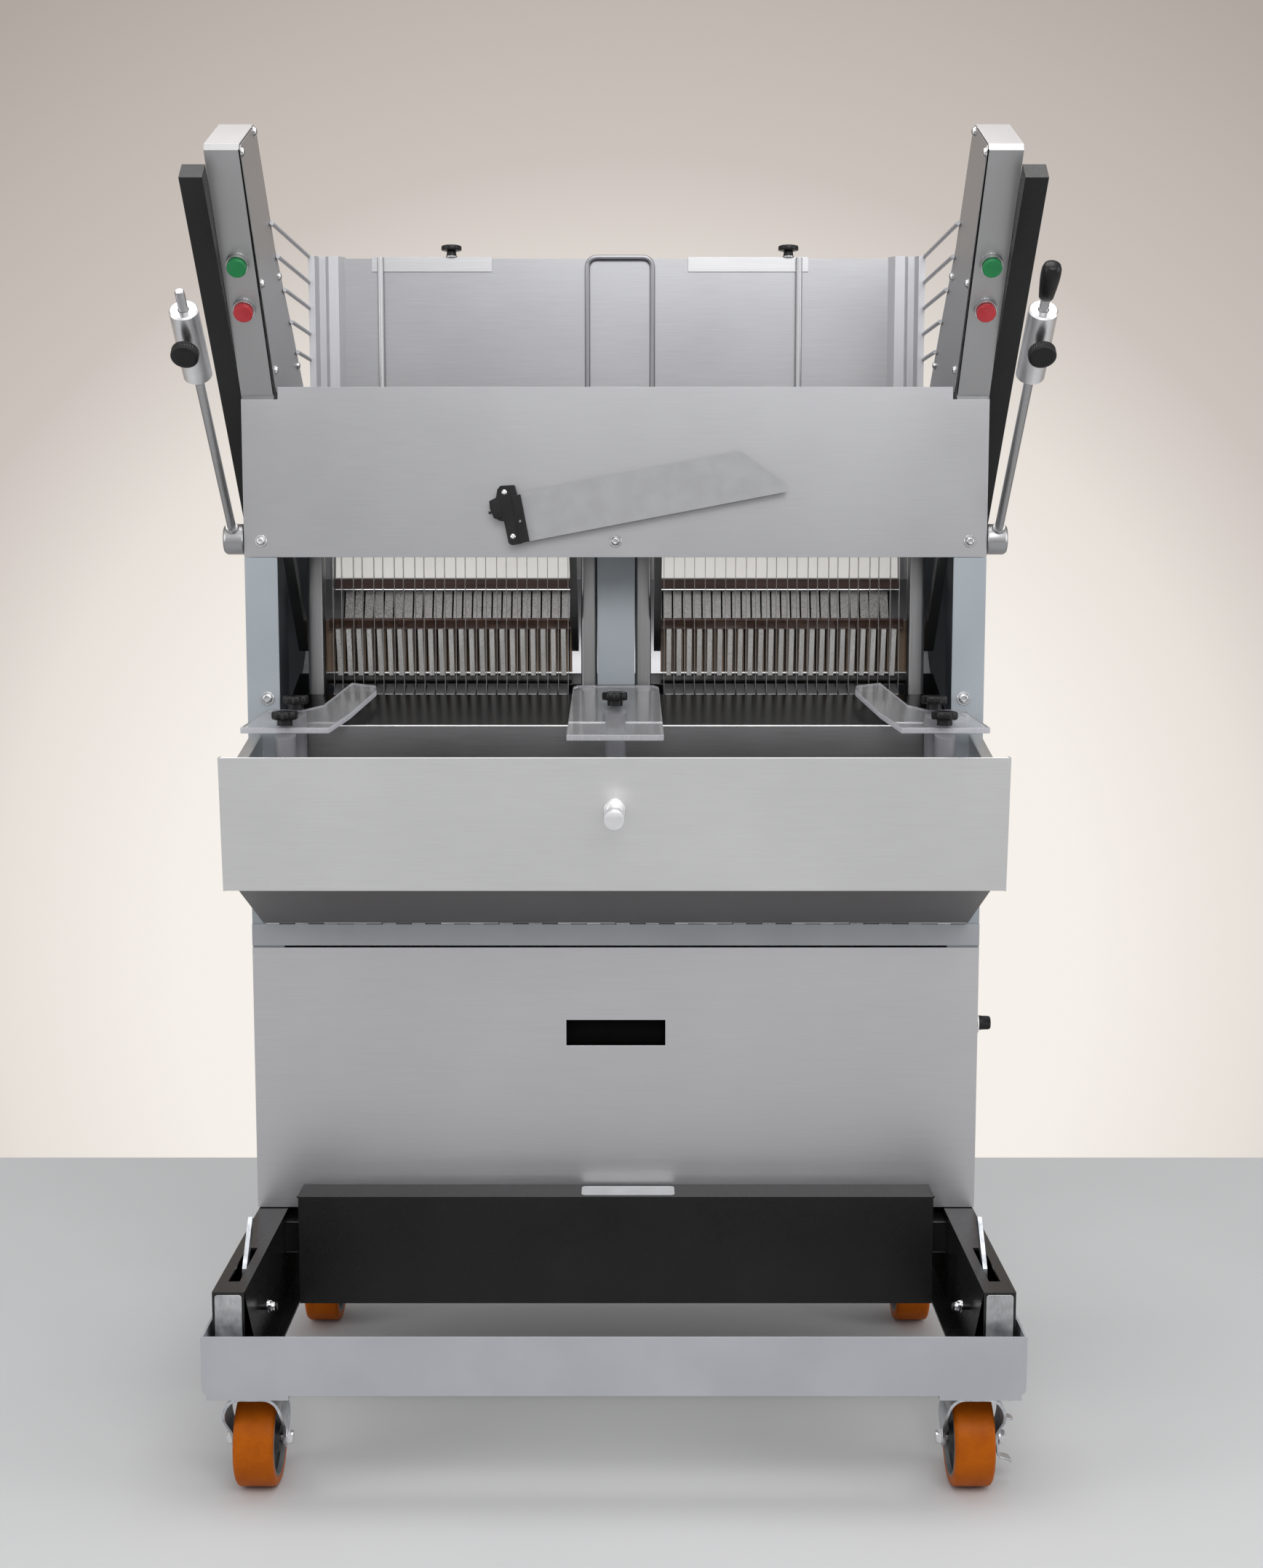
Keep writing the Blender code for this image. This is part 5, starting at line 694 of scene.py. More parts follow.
def caster_wheels():
    for label in ("front_left", "front_right", "rear_left", "rear_right"):
        middle = node_foot(f"wheel_{label}")
        middle.z = WHEEL_RADIUS
        stock = Stock()
        half = 26.5
        corner = [(WHEEL_RADIUS - 6 + 6 * sin(a), half - 6 + 6 * cos(a)) for a in
                  (radians(d) for d in (0, 18, 36, 54, 72, 90))]
        tread = [(50, half - 4), (50, half - 0.8), *corner, (WHEEL_RADIUS, 12)]
        stock.turned(mirrored(tread), middle, (1, 0, 0), 72)
        stock.finish = 1
        rim = [(50, half - 1.2), (49.6, half - 0.4), (48, half - 0.4), (47.4, half - 1.4)]
        profile = [(50, 0), *rim, (47, 0), *((r, -h) for r, h in reversed(rim))]
        stock.turned(profile, middle, (1, 0, 0), 72)
        stock.finish = 2
        web = [(48, half - 6), (44, half - 8.5), (24, half - 8.5), (20, half - 3),
               (18, half + 0.8), (8.5, half + 0.8), (6.6, half - 0.2)]
        stock.turned(mirrored(web), middle, (1, 0, 0), 48)
        made(f"tyre_and_hub_{label}", stock, [tyre, rim_grey, hub_grey], node=f"wheel_{label}")


FORK_LINE = [
    (0, 138.8), (14, 138.8), (22.5, 137.2), (30.5, 131.5), (36, 121.5), (38, 108), (37.8, 95),
    (36.2, 82), (34.6, 71), (33.8, 62.5), (33.6, 56), (33.5, 51.7), (33.5, 50),
]
FORK_FOOT_HALF, FORK_TOP_HALF = 13.2, 28


def fork_edge(z, swivel, axle):
    """Front and back edge of a fork's sheet at a height."""
    if z < WHEEL_RADIUS:
        half = sqrt(max(FORK_FOOT_HALF**2 - (WHEEL_RADIUS - z) ** 2, 4))
        return axle - half, axle + half
    share = min(max((z - WHEEL_RADIUS) / 62, 0), 1)
    share = share * share * (3 - 2 * share)
    centre = axle + (swivel - axle) * share
    half = FORK_FOOT_HALF + (FORK_TOP_HALF - FORK_FOOT_HALF) * share
    return centre - half, centre + half


def fork(label, side, end, trail):
    """A caster's fork with its axle and the ball race above it."""
    centre, swivel = side * CASTER_X, end * CASTER_Y
    axle = swivel + trail
    half_line = smooth_line(FORK_LINE)
    line = [Vector((-p.x, p.y)) for p in reversed(half_line[1:])] + half_line
    stock = Stock().loft(sheet_rings(line, 1.9, centre, lambda i, point: fork_edge(point.y, swivel, axle)))
    # The fork's inner and downward faces take the dark finish as painted shade.
    for face in stock.shape.faces:
        inward = (centre - face.calc_center_median().x) * face.normal.x > 0 and abs(face.normal.x) > 0.3
        face.material_index = 1 if inward or face.normal.z < -0.6 else 0
    body = f"caster_{label}" if end < 0 else "machine"
    made(f"fork_sheet_{label}", stock, [zinc, shade_zinc], 0.7, node=f"caster_fork_{label}")
    bolt = Stock()
    for turn in (-1, 1):
        foot = 4.2 if label == "front_right" and turn == 1 else 0
        head = [(0, -6), (6, -6), (6, foot), (10.8, foot), (10.8, foot + 1.4), (10, foot + 1.8),
                (9.8, foot + 2, "hex"), (9.8, foot + 7.2, "hex"), (8.2, foot + 8.6), (5, foot + 9),
                (0, foot + 9)]
        bolt.turned(head, (centre + turn * 35.2, axle, WHEEL_RADIUS), (turn, 0, 0), 24)
    bolt.turned([(0, -30), (5.8, -30), (5.8, 30), (0, 30)], (centre, axle, WHEEL_RADIUS), (1, 0, 0), 16)
    made(f"axle_{label}", bolt, [bright], body=body, angle=30)
    race = [(0, 137.8), (8.5, 137.8), (8.5, 140.5), (24, 140.5), (30, 140.8), (33.2, 142.5), (34.2, 144.8),
            (33, 146.6), (30, 147.8), (30, 149.2), (0, 149.2)]
    lathed(f"ball_race_{label}", race, (centre, swivel, 0), (0, 0, 1), 40, race_zinc)


def forks():
    for place, end, trail in (("front", -1, 32.5), ("rear", 1, -17.5)):
        for name, side in SIDES.items():
            fork(f"{place}_{name}", side, end, trail)
    bolts = [((side * CASTER_X + x, end * CASTER_Y + y, 149), (0, 0, -1))
             for side in (-1, 1) for end in (-1, 1) for x in (-39, 39) for y in (-39, 39)]
    fixings("plate_bolts", dome_screw(7.2, 8.5, 4.2), bolts, zinc)


def pedal():
    line = smooth_line([(527, 88.5), (520, 90.5), (512.5, 90), (508, 84), (506.8, 74), (506.8, 50),
                        (507.8, 42), (511, 37), (516.5, 35.5), (522.5, 33.5), (526.5, 30)])
    end = [5.2, 6.8, 7.6]
    half = end + [8] * (len(line) - 2 * len(end)) + end[::-1]
    rings = sheet_rings(line, 1.4, 0, lambda i, point: (PEDAL_Y - half[i], PEDAL_Y + half[i]))
    made("brake_pedal_bent", Stock().loft(rings), [zinc], 0.6, node="brake_pedal")


# Base
def base():
    softened("wheel_frame", [rail_grey], 0.8)
    softened("base_frame", [stay_black, box_black], 0.8,
             lambda at, normal: abs(at.x) < 452.5 and -60.5 < at.y < 220.5)
    plugs = Stock()
    for side in (-1, 1):
        low, high = spread(side, 479.5, 514.5)
        for start in (-342.8, 340):
            plugs.prism(rounded((low, 166), (high, 278.5), 4), "XZ", start, start + 2.8)
    made("channel_plugs", plugs, [plug_silver], 0.6)
    shanks = Stock()
    for side in (-1, 1):
        shanks.turned([(0, 0), (4, 0), (4, 16), (0, 16)], (side * 477, *FOOT_PIN), (-side, 0, 0), 16)
    made("foot_pins", shanks, [zinc])
    for name, fixing, x, out, finish in (
        ("cap_nuts", acorn_nut(7.6, 12.3), 465.5, -1, bright),
        ("pin_heads", hex_bolt(7.5, 5), 518.5, 1, zinc),
    ):
        fixings(name, fixing, [((side * x, *FOOT_PIN), (side * out, 0, 0)) for side in (-1, 1)], finish)
    for name in SIDES:
        softened(f"foot_lever_{name}", [zinc], 1.2)
    slip = Stock().prism(rounded((-49, -52), (84, -12), 6), "XY", 316.8, 317.6)
    made("blank_slip", slip, [plate_white], 0.2)
    beads = Stock()
    for side in (-1, 1):
        for z in (225.5, 269.5):
            line = [(side * (452.5 + 4.5 * i), -30.5, z + 0.3 * sin(i * 2.1)) for i in range(6)]
            beads.tube(line, 1.6, 8)
        line = [(side * 452.8, -59 + 4 * i, 316.5 + 0.3 * sin(i * 1.9)) for i in range(14)]
        beads.tube(line, 1.4, 8)
    made("weld_beads", beads, [stay_black])


# Cabinet
def pocket(at, normal):
    """The front panel's top fold and its finger pull, which take painted shade."""
    pull = abs(at.x) < 73.5 and 520.5 < at.z < 562.5 and at.y > -2.1
    return pull or (normal.z > 0.7 and at.z > 665.5)


def cabinet():
    for name in SIDES:
        softened(f"side_frame_{name}", [blue_grey], 1.2)
    softened("lower_front_panel", [panel_steel, pocket_black], 0.6, pocket)
    # The hinge rail's underside takes painted shade over the gap below it.
    softened("hinge_rail", [rail_grey, pocket_black], 0.6, lambda at, normal: normal.z < -0.7)
    softened("rear_panel", [blue_grey], 0.6)
    softened("centre_column", [blue_grey], 1.2)
    carried("motor", motor_grey)
    carried("crankshaft", zinc)
    ring = [(3.4, -0.4), (3.75, -0.4), (3.75, 0.4), (3.4, 0.4)]
    stock = Stock().turned(ring, (KNUCKLE_PITCH - HINGE_HALF, *HINGE_AXIS), (1, 0, 0), 16)
    # Dark rings between the hinge knuckles are painted shade.
    row("hinge_joints", stock, KNUCKLES - 1, (KNUCKLE_PITCH, 0, 0), gap_black)
    barrel = [(3.45, 0.6), (3.65, 0.8), (3.65, KNUCKLE_PITCH - 0.8), (3.45, KNUCKLE_PITCH - 0.6)]
    stock = Stock().turned(barrel, (-HINGE_HALF, *HINGE_AXIS), (1, 0, 0), 16)
    row("hinge_barrels", stock, KNUCKLES // 2, (KNUCKLE_PITCH * 2, 0, 0), bright)
    # The vent slots are dark plates of painted shade on the rear panel.
    for name, x in (("rear_vents", -150), ("rear_vents_right", 60)):
        slot = Stock().prism(rounded((x, 420), (x + 90, 424.5), 2), "XZ", 338.6, 339.2)
        row(name, slot, 9, (0, 0, 16), gap_black)
    screws = [((side * 491.3, -0.2, 1022.8), (0, -1, 0)) for side in (-1, 1)]
    fixings("upright_screws", dome_screw(7.2, 9.5, 5), screws, screw_metal)
    places = [((x, 339, z), (0, 1, 0)) for x in range(-500, 501, 250) for z in (300, 735, 1170)]
    fixings("rear_panel_screws", dome_screw(4.5, 6, 3.2), places, screw_metal)
    dial = [(0, 0), (15, 0), (15, 1.6), (14.2, 2.2), (0, 2.2)]
    lathed("switch_ring", dial, (520.1, *SWITCH), (1, 0, 0), 36, ring_white)
    grip = [(10, 7.5, "knurled"), (9.7, 17.5, "knurled")]
    cap = [(0, 2.4), (10.5, 2.4), (10.5, 6), *grip, (8.5, 19.7), (0, 20)]
    lathed("switch_cap", cap, (520.2, *SWITCH), (1, 0, 0), 72, knob_black, "switch_knob")


# Slicing table, guards and their knobs
def apron_or_post(at, normal):
    """2 for the apron's front, 1 for the posts and the grey folds, 0 for the plate."""
    if abs(at.y) < 2 and normal.y < -0.5:
        return 2
    return at.y < -0.5 or (at.z > table_z(at.y) + 3 and at.y > 0)


def slicing_table():
    softened("table", [table_steel, post_grey, apron_steel], 0.6, apron_or_post)
    # The table's real rounded front fold, drawn in bright polished metal on the dark table as a painted
    # highlight.
    edge = Stock().tube([(-473.3, 0.9, 983.7), (473.3, 0.9, 983.7)], 1.4, 12)
    made("table_front_edge", edge, [bright])
    front, back = 104.2, 140.3
    near, far = table_z(front), table_z(back)
    bar = [(front, near), (back, far), (back, far - 2), (front, near - 2)]
    low, high = near - 0.2, near + 1.3
    tooth = [(front + 0.2, low), (front + 1.4, low), (front + 1.4, high), (front + 0.2, high)]
    for name, side in SIDES.items():
        blade_row(f"table_bars_{name}", bar, side, GAPS, 6.6, slot_grey)
        blade_row(f"slot_edge_{name}", tooth, side, GAPS, 5.8, bright)


def on_rim(at, normal):
    """The cut edge of a guard plate, not its two clear faces."""
    return abs(normal.dot(Vector((0, -TABLE_SLOPE, 1)).normalized())) <= 0.9


def guards():
    for name in ("left", "right", "centre"):
        softened(f"clear_guard_{name}", [clear, clear_edge], 1, on_rim)
    grip = [(radius, height, "lobed") for radius, height in
            ((16.8, 8.2), (18.1, 9.2), (18.5, 11), (18.5, 16.5), (18, 18.4), (16.6, 19.5))]
    profile = [(0, 0), (10.8, 0), (10.8, 7.5), (12.5, 8), *grip, (12.5, 19.9), (11.5, 19.2), (7.5, 18.9),
               (0, 18.8)]
    for name in ("centre", "front_left", "front_right", "back_left", "back_right"):
        node = f"guard_knob_{name}"
        lathed(f"lobed_{node}", profile, node_foot(node), (0, 0, 1), 84, knob_black, node, 50)


# Crumb tray
def crumb_tray():
    # The tray's downward faces take the darker steel as painted shade.
    softened("tray", [tray_steel, shade_steel], 0.7, lambda at, normal: normal.z < -0.2)
    lip = Stock().tube([(-520.5, -200.2, 958.2), (520.5, -200.2, 958.2)], 1.3, 10)
    made("tray_top_edge", lip, [bright], body="tray")
    knob = [(0, 0), (14, 0), (15, 1), (15, 12), (14.3, 13.4), (12.8, 14), (11.2, 14.4), (10.8, 16.5),
            (10.8, 46.2), (11.4, 47.6), (12.9, 48.1), (13.7, 49.2), (13.7, 63.6), (13, 65.4), (11.6, 66),
            (0, 66)]
    out = (0, -0.99531, -0.09677)
    lathed("tray_knob_turned", knob, (0, -195.3, 890), out, 72, weight_metal, "tray_knob", 40)


# Hood, arms and stays
def hood_part(at, normal):
    """0 for the hood, 3 for what stands between the arms, 2 for the arms' up-facing tops, which take a
    painted highlight, 1 for the arms.
    """
    if at.z < 1442.5:
        return 0
    if abs(at.x) < 474:
        return 3
    return 2 if normal.z > 0.3 and at.z > 1740 else 1


def hood():
    # The arms' up-facing tops take the lighter steel as a painted highlight.
    softened("hood_casing", [steel, cover_steel, highlight_steel, guide_steel], 0.8, hood_part,
             lambda at: at.y < -0.6 and abs(at.x) < 300 and at.z < 1330)
    ring = [(13.3, 0), (15, 0), (15.2, 1.4), (14.4, 2.2), (14.7, 3.6), (14, 4.6), (14.5, 6.6), (14.2, 8.4),
            (13.3, 8.4)]
    cap = [(0, -3), (8, -3), (8, 8.4), (12.5, 8.6), (13, 9.4), (13, 14.8), (12.6, 15.8), (11.8, 16.3),
           (6, 15.9), (0, 15.7)]
    spots = ((-116, 1777), (-205, 1734), (54, 1613), (-81, 1586), (13, 1480), (203, 1503))
    for name, side in SIDES.items():
        softened(f"arm_cover_{name}", [cover_steel], 0.4)
        seam = [(side * 475.1, *(ARM_FOOT + ARM_FACE * along + ARM_OUT * 0.3).yz) for along in (4, 366)]
        # A dark line along the arm's seam is painted shade.
        made(f"arm_seam_{name}", Stock().tube(seam, 0.7, 8), [gap_black])
        screws = [((side * 473.3, y, z), (-side, 0, 0)) for y, z in spots]
        fixings(f"cover_screws_{name}", dome_screw(5.2, 6.6, 4), screws, bright)
        for colour, finish in (("red", button_red), ("green", button_green)):
            foot = Vector((side * ARM_MIDDLE, *ARM_FOOT.yz)) + ARM_FACE * BUTTONS_ALONG[colour]
            lathed(f"{colour}_ring_{name}", ring, foot, ARM_OUT, 40, ring_metal, angle=50)
            lathed(f"{colour}_cap_{name}", cap, foot, ARM_OUT, 40, finish, f"{colour}_button_{name}")
    screws = [((x, -0.2, 1243.4), (0, -1, 0)) for x in (-496.3, 0, 496.3)]
    fixings("hood_screws", dome_screw(6.2, 8.6, 5), screws, screw_metal)
    softened("stay_frame", [stay_black], 1.5)


# Flap
CLAMP_CAST = (
    (-29.2, 31), (-19, 33.8), (-15, 44.6), (-9.5, 48.8), (9.5, 46.2), (10.8, 33), (10.8, -33), (2, -34.8),
    (-10, -34.4), (-13.8, -31), (-14.4, 0.4), (-19, 1.2), (-27.5, 7.8), (-30.2, 20.5),
)


def flap():
    softened("flap", [frosted, clear_edge], 0.6, lambda at, normal: abs(normal.y) <= 0.9)
    clamp = Stock().prism(CLAMP_CAST, "XZ", -21.2, -0.2)
    clamp.prism(rounded((2.2, -33.8), (15.4, 32.2), 1), "XZ", -23.6, -19)
    clamp.prism(rounded((-27.8, 5), (-15, 29), 4), "XZ", -22.6, -20.8)
    clamp.turned([(0, 0), (1.9, 0), (1.9, 4), (0, 4)], (-29.2, -18, 15.2), (-1, 0, 0), 12)
    bmesh.ops.transform(clamp.shape, matrix=CLAMP_PLACE, verts=clamp.shape.verts)
    made("flap_clamp_plate", clamp, [knob_black], 0.6)
    for name, screw, spots, finish in (
        ("flap_clamp_bolts", dome_screw(3, 3.6, 3.4), ((-6.2, -21, 38.8), (-6.2, -21, -23.2)), bright),
        ("flap_stop_pin", dome_screw(1.3, 1.6, 1.4), ((7.8, -23.6, -4.5),), screw_metal),
    ):
        fixings(name, screw, [(CLAMP_PLACE @ Vector(spot), (0, -1, 0)) for spot in spots], finish)


# Levers, weights and combs
def on_lever(side, along):
    return Vector((side * LEVER_X, *PIVOT.yz)) + LEVER_ALONG * along


def comb_arm(stock, side, start, end):
    """An arm from the cross shaft down to the comb's board."""
    stock.finish = 1
    axis, foot = PIVOT.yz, Vector((156, 1089))
    line = foot - axis
    across = Vector((-line.y, line.x)).normalized() * 10
    near, far = spread(side, start, end)
    stock.prism([axis + across, axis - across, foot - across, foot + across], "YZ", near, far)
    collar = [(8.2, 0), (11.5, 0), (11.5, end - start), (8.2, end - start)]
    stock.turned(collar, (near, *axis), (1, 0, 0), 28)


def levers():
    boss = [(0, 0.4), (20, 0.4), (21.4, 1.8), (21.4, 24), (20.5, 26.2), (18.5, 28.5), (10, 28.8), (9.2, 27.6),
            (0, 27.6)]
    rod = [(0, 10), (6, 10), (6, LEVER_LENGTH - 1.2), (5, LEVER_LENGTH), (0, LEVER_LENGTH)]
    collar = [(0, 14), (9.2, 14), (9.2, 24.5), (8.4, 25.5), (0, 25.5)]
    start = LEVER_LENGTH - 27.5
    thread = [(6.2 if i % 2 else 5.4, start + 0.9 * i) for i in range(30)]
    shaft = [(0, 0), (8, 0), (8, 2 * CABINET_HALF), (0, 2 * CABINET_HALF)]
    weight = [(6.8, 0.6), (7.2, 0), (16.5, 0), (18.5, 2), (18.5, 107), (16.5, 109), (7.2, 109), (6.8, 108.4)]
    grip = [(r, h, "knurled") for r, h in ((16, 31.2), (17.5, 32.5), (17.5, 43.5), (16, 44.9))]
    screw = [(0, 10), (4, 10), (4, 22), (7.5, 23.5), (8, 30), *grip, (12, 45), (0, 44.4)]
    knob = [(0, 0), (8.5, 0), (9.2, 1), (10.8, 14), (12.1, 27), (12.5, 37), (12.1, 44), (10.4, 49),
            (7.2, 51.4), (0, 52)]
    for name, side in SIDES.items():
        stock = Stock().turned(boss, (side * 520.3, *PIVOT.yz), (side, 0, 0), 48)
        foot = on_lever(side, 0)
        stock.turned(rod, foot, LEVER_ALONG, 28)
        stock.turned(collar, foot, LEVER_ALONG, 28)
        if side < 0:
            stock.turned([(0, start - 0.5), *thread, (0, LEVER_LENGTH - 0.4)], foot, LEVER_ALONG, 20)
        else:
            stock.turned(shaft, (-CABINET_HALF, *PIVOT.yz), (1, 0, 0), 20)
            for bay in (-1, 1):
                comb_arm(stock, bay, 55.5, 65.5)
                comb_arm(stock, bay, 455.5, 469.8)
        made(f"lever_rod_{name}", stock, [rod_steel, arm_steel], node=f"lever_{name}", angle=40)
        lathed(f"weight_turned_{name}", weight, on_lever(side, WEIGHT_START), LEVER_ALONG, 56, weight_metal,
               f"weight_{name}", 30)
        lathed(f"thumb_screw_{name}", screw, on_lever(side, SCREW_ALONG), SCREW_OUT, 144, knob_black,
               f"weight_screw_{name}", 50)
    lathed("lever_knob_moulded", knob, on_lever(1, LEVER_LENGTH - 10), LEVER_ALONG, 40, knob_black,
           "lever_knob", 50)


def combs():
    finger = [(141.8, 1046.2), (150, 1046.2), (150, 1115.5), (120, 1115.5), (138.5, 1053), (139.5, 1047)]
    board = [(150.2, 1052), (166, 1050.5), (166.8, 1056), (162, 1127.8), (150.2, 1127.8)]
    groove = [(149.6, 1053), (150.5, 1053), (150.5, 1115), (149.6, 1115)]
    strip = [(139.5, 1115.8), (141.2, 1115.8), (146.6, 1130), (144.9, 1130)]
    body = "lever_shaft"
    for name, side in SIDES.items():
        stock = Stock().prism(board, "YZ", *spread(side, 65.8, 455.2))
        made(f"comb_board_{name}", stock, [board_brown], 0.6, node=f"comb_{name}")
        # The fingers' raised brightness is painted light.
        blade_row(f"comb_fingers_{name}", finger, side, GAPS, 3.4, finger_metal, body)
        # Dark grooves on the board at each blade are painted shade.
        blade_row(f"board_grooves_{name}", groove, side, BLADES, 1, gap_black, body)
        near, far = spread(side, 64, 424)
        made(f"smoked_strip_{name}", Stock().prism(strip, "YZ", near, far), [smoked], 0.3, body)
        rail = Stock()
        for y, z in ((145.2, 1130.2), (140, 1115.8)):
            rail.tube([(near, y, z), (far, y, z)], 1.1, 8)
        made(f"strip_rails_{name}", rail, [bar_brown], 0, body)


# Blade frames
def blade_frames():
    for label, front, rod_x, first in (
        ("front", 106.5, 360, BLADE_FIRST), ("rear", 123, 300, BLADE_FIRST + BLADE_PITCH),
    ):
        back = front + 15
        stock = Stock()
        for side in (-1, 1):
            for start, end in ((427, 450), (28, 51)):
                low, high = spread(side, start, end)
                stock.prism(rounded((low, front), (high, back), 4.5), "XY", 900.5, 1419.5)
            x = side * rod_x
            stock.prism(rounded((x - 6, front + 1.5), (x + 6, back - 1.5), 5.5), "XY", 582, 905)
            stock.box((x - 14, front + 0.5, 579.5), (x + 14, back - 0.5, 596.8))
        for low in (900, 1380):
            stock.prism(rounded((front, low), (back, low + 40), 3), "YZ", -449.5, 449.5)
        made(f"{label}_frame_bars", stock, [bar_steel], node=f"{label}_blade_frame", angle=40)
        holder = front if label == "front" else back - 5
        clamps = Stock()
        for z in (942, 1364):
            clamps.prism(rounded((holder, z), (holder + 5, z + 14), 1), "YZ", -426.2, 426.2)
        made(f"{label}_blade_clamps", clamps, [bar_steel], node=f"{label}_blades")
        edge, spine, foot, top, points = front + 1.5, front + 13, 945, 1376, 54
        teeth = [(edge + (0 if i % 2 else 1.4), top + (foot - top) * i / points) for i in range(points + 1)]
        outline = [(spine, foot), (spine, top), *teeth]
        for name, side in SIDES.items():
            places = first, BLADES_PER_BAY // 2
            blade_row(f"{label}_blades_{name}", outline, side, places, 0.3, blade_metal, f"{label}_frame",
                      2 * BLADE_PITCH)


# Hopper back and loaf guides
def bed_arc(radius, low, high, steps):
    """Points on a circle round the comb's pivot between two heights."""
    first, last = (asin((PIVOT.z - z) / radius) for z in (low, high))
    angles = [first + (last - first) * i / steps for i in range(steps + 1)]
    return [(PIVOT.y + radius * cos(a), PIVOT.z - radius * sin(a)) for a in angles]


def bed_shell(inner, outer, low=BED_LOW, high=BED_HIGH, steps=16):
    """The outline between two such arcs."""
    return bed_arc(inner, low, high, steps) + bed_arc(outer, low, high, steps)[::-1]


def hopper():
    # The hopper's side folds high up take the lighter steel as painted light.
    softened("hopper_back", [hopper_steel, painted_light_fold_steel], 0.3,
             lambda at, normal: abs(at.x) > 405 and at.z > 1300)
    slit = bed_shell(255.2, BED_RADIUS + 0.3)
    rib = bed_shell(252.8, BED_RADIUS + 0.3)
    bar = bed_shell(250.5, 256.2, 1172.5, 1186.8, 6)
    sheet = bed_arc(255.2, 1188.5, 1236, 6) + [(269.5, 1250), (269.5, 1330)]
    plate = sheet + [(y + 1.2, z) for y, z in reversed(sheet)]
    cap = [(0, 0), (7.8, 0), (7.4, 3), (7, 6), (10.5, 7.2), (15, 8), (15.5, 9.4), (15.5, 13), (14.8, 14.8),
           (12, 15.7), (6, 16), (0, 16)]
    for name, side in SIDES.items():
        # Dark slits in the bed are painted shadow of the blades.
        blade_row(f"bed_slits_{name}", slit, side, BLADES, 1.2, gap_black)
        # The bed ribs' raised brightness is painted light.
        blade_row(f"bed_ribs_{name}", rib, side, GAPS, 6.2, bed_metal)
        near, far = spread(side, 62, 430)
        made(f"brown_bar_{name}", Stock().prism(bar, "YZ", near, far), [bar_brown], 0.4)
        # The pale plate behind the blades glows as painted light.
        made(f"bay_light_plate_{name}", Stock().prism(plate, "YZ", near, far), [painted_glow_plate])
        wire = Stock().tube([(near, 253, 1170.2), (far, 253, 1170.2)], 1.4, 10)
        made(f"bed_wire_{name}", wire, [bright])
    for name in SIDES:
        softened(f"loaf_guide_{name}", [guide_steel], 0.5)
        node = f"guide_knob_{name}"
        lathed(f"moulded_{node}", cap, node_foot(node), (0, 0, 1), 40, knob_black, node, 50)


# Room, light and camera
SENSOR_WIDTH = 36
FOCAL_PIXELS, PHOTO_PIXELS = 2800, 1736


def floor():
    look = Finish("floor_grey", Roughness=0.85)
    grey = look.fed(look.marks(1.2, 2.0).limited(0.3, 0.7), (0.6, 0.6, 0.6), (0.64, 0.64, 0.64))
    made("studio_floor", Stock().box((-6000, -6000, -20), (6000, 1168, 0)), [grey], None)


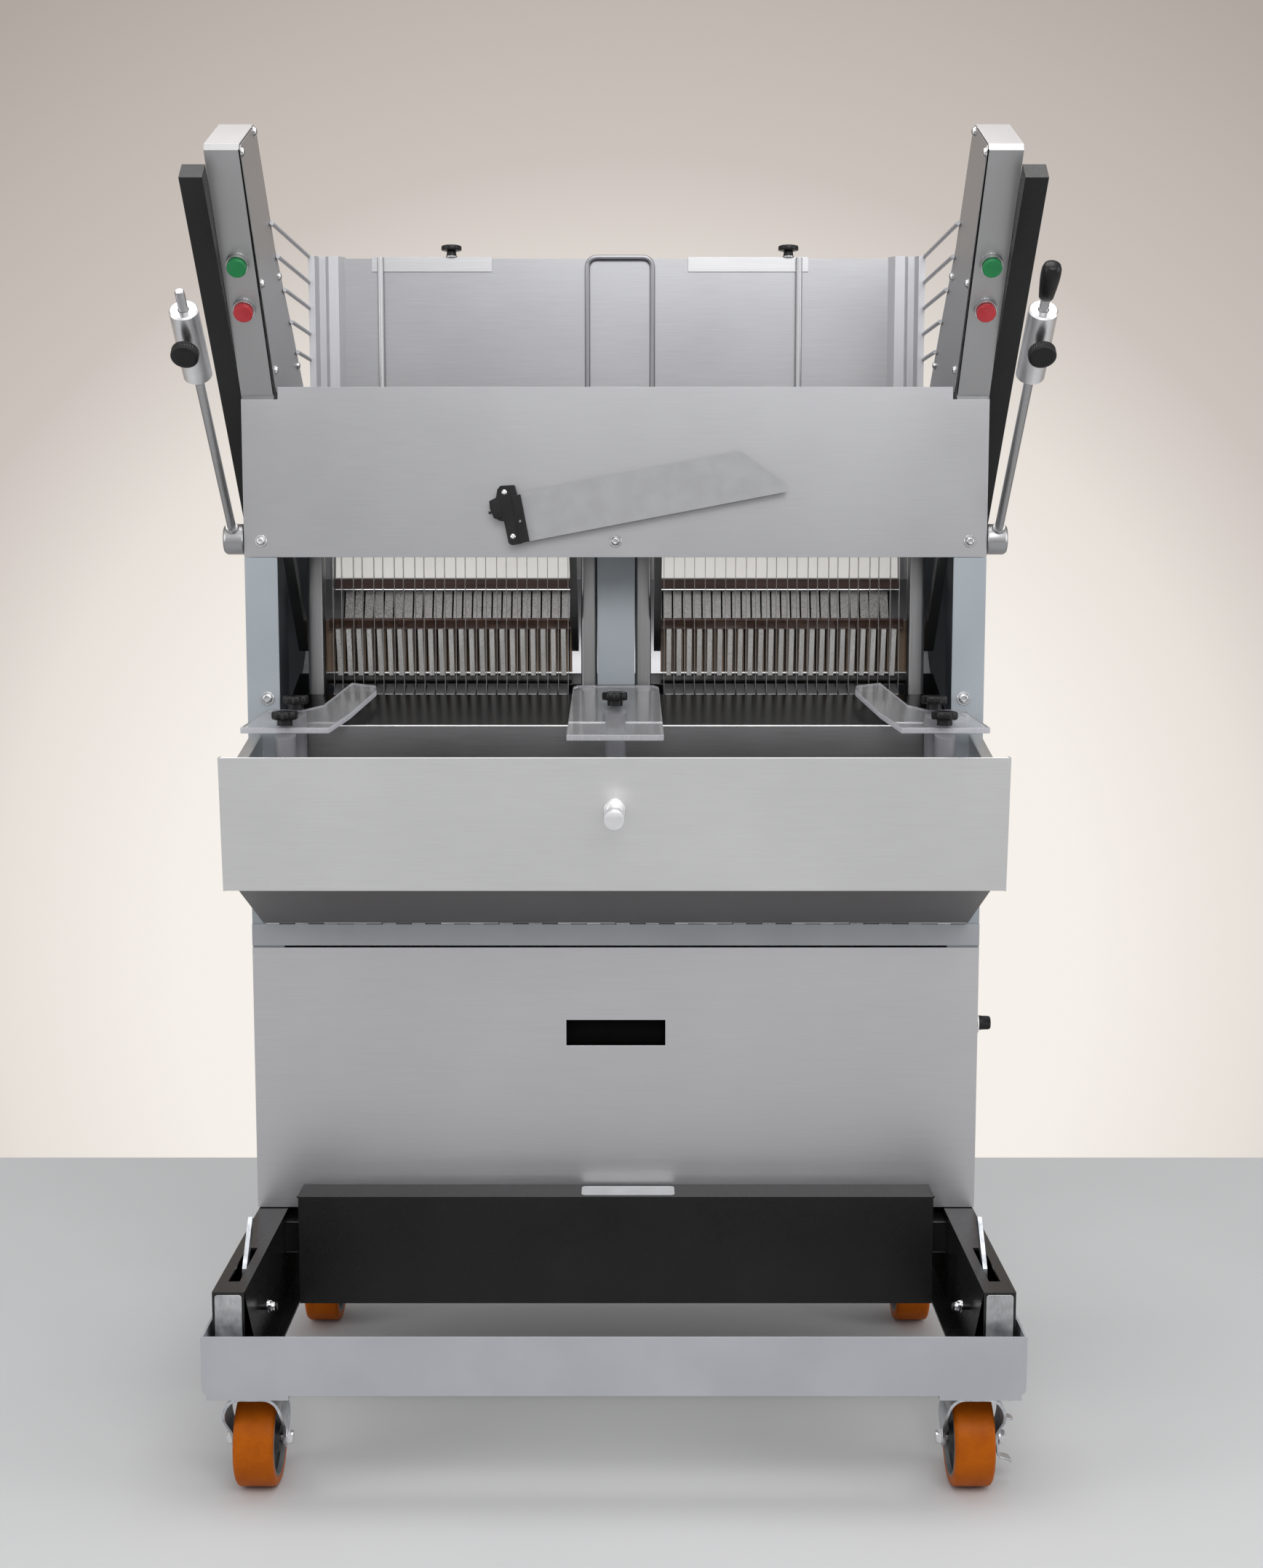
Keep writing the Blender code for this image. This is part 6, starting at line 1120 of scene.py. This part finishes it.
def surroundings():
    """The wall that the camera sees, the studio that metal mirrors and the plain light elsewhere."""
    world = bpy.data.worlds.new("studio")
    bpy.context.scene.world = world
    world.use_nodes = True
    world.node_tree.nodes.clear()
    ray = Wire(world.node_tree).node("ShaderNodeTexCoord", {}, {}, "Generated")
    parts = ray.node("ShaderNodeSeparateXYZ", {}, {"Vector": ray})
    sockets = {0: ray, 1: (0, 0.982, -0.189)}
    away = ray.node("ShaderNodeVectorMath", {"operation": "DISTANCE"}, sockets, "Value")
    wall = away.limited(0.0, 0.6).ramp(
        (0.0, (0.94, 0.90, 0.85)), (0.36, (0.92, 0.875, 0.82)), (0.50, (0.80, 0.75, 0.70)),
        (0.62, (0.60, 0.545, 0.505)), (0.74, (0.52, 0.468, 0.43)), (0.85, (0.43, 0.385, 0.352)),
        (1.0, (0.38, 0.34, 0.31)))
    studio = parts.out("Z").limited(-0.32, 0.40).ramp(
        (0.0, (0.62, 0.62, 0.63)), (0.40, (0.74, 0.74, 0.75)), (0.62, (0.92, 0.92, 0.93)), (1.0, (1, 1, 1)))
    shown = parts.out("Y").limited(-0.15, 0.25).mixed(studio, wall)
    path = ray.node("ShaderNodeLightPath", {}, {}, "Is Camera Ray")
    seen = path + path.out("Is Glossy Ray") + path.out("Is Transmission Ray")
    share = seen.maths("MINIMUM", 1.0)
    camera_wall = path.mixed(shown, wall)
    plain = ray.node("ShaderNodeBackground", {}, {"Color": (0.97, 0.98, 1.0, 1), "Strength": 0.52})
    look = ray.node("ShaderNodeBackground", {}, {"Color": camera_wall, "Strength": 1.0})
    mixed = ray.node("ShaderNodeMixShader", {}, {0: share, 1: plain, 2: look})
    ray.node("ShaderNodeOutputWorld", {}, {"Surface": mixed})


def lights():
    for name, spot, size, power in (
        ("front_box", (0.6, -3.4, 3.3), (2.6, 1.8), 62),
        ("top_box", (0, -0.2, 3.6), (2.4, 1.6), 34),
        ("left_box", (-3.2, -1.6, 1.8), (1.2, 2.2), 20),
        ("right_box", (3.2, -1.2, 1.8), (1.2, 2.2), 20),
    ):
        light = bpy.data.lights.new(name, "AREA")
        light.shape = "RECTANGLE"
        light.size, light.size_y = size
        light.energy = power
        towards = (Vector((0, 0, 0.9)) - Vector(spot)).to_track_quat("-Z", "Y")
        linked(name, light).matrix_world = Matrix.Translation(spot) @ towards.to_matrix().to_4x4()


def camera():
    lens = bpy.data.cameras.new("photo_camera")
    lens.sensor_fit = "HORIZONTAL"
    lens.sensor_width = SENSOR_WIDTH
    lens.lens = SENSOR_WIDTH * FOCAL_PIXELS / PHOTO_PIXELS
    eye = linked("photo_camera", lens)
    eye.location = (0.0225, -2.8716, 1.232)
    eye.rotation_euler = (pi / 2 - 0.11467, 0, 0)
    bpy.context.scene.camera = eye
    bpy.context.scene.view_settings.view_transform = "Standard"


for step in (caster_wheels, forks, pedal, base, cabinet, slicing_table, guards, crumb_tray, hood, flap,
             levers, combs, blade_frames, hopper, floor, surroundings, lights, camera):
    step()
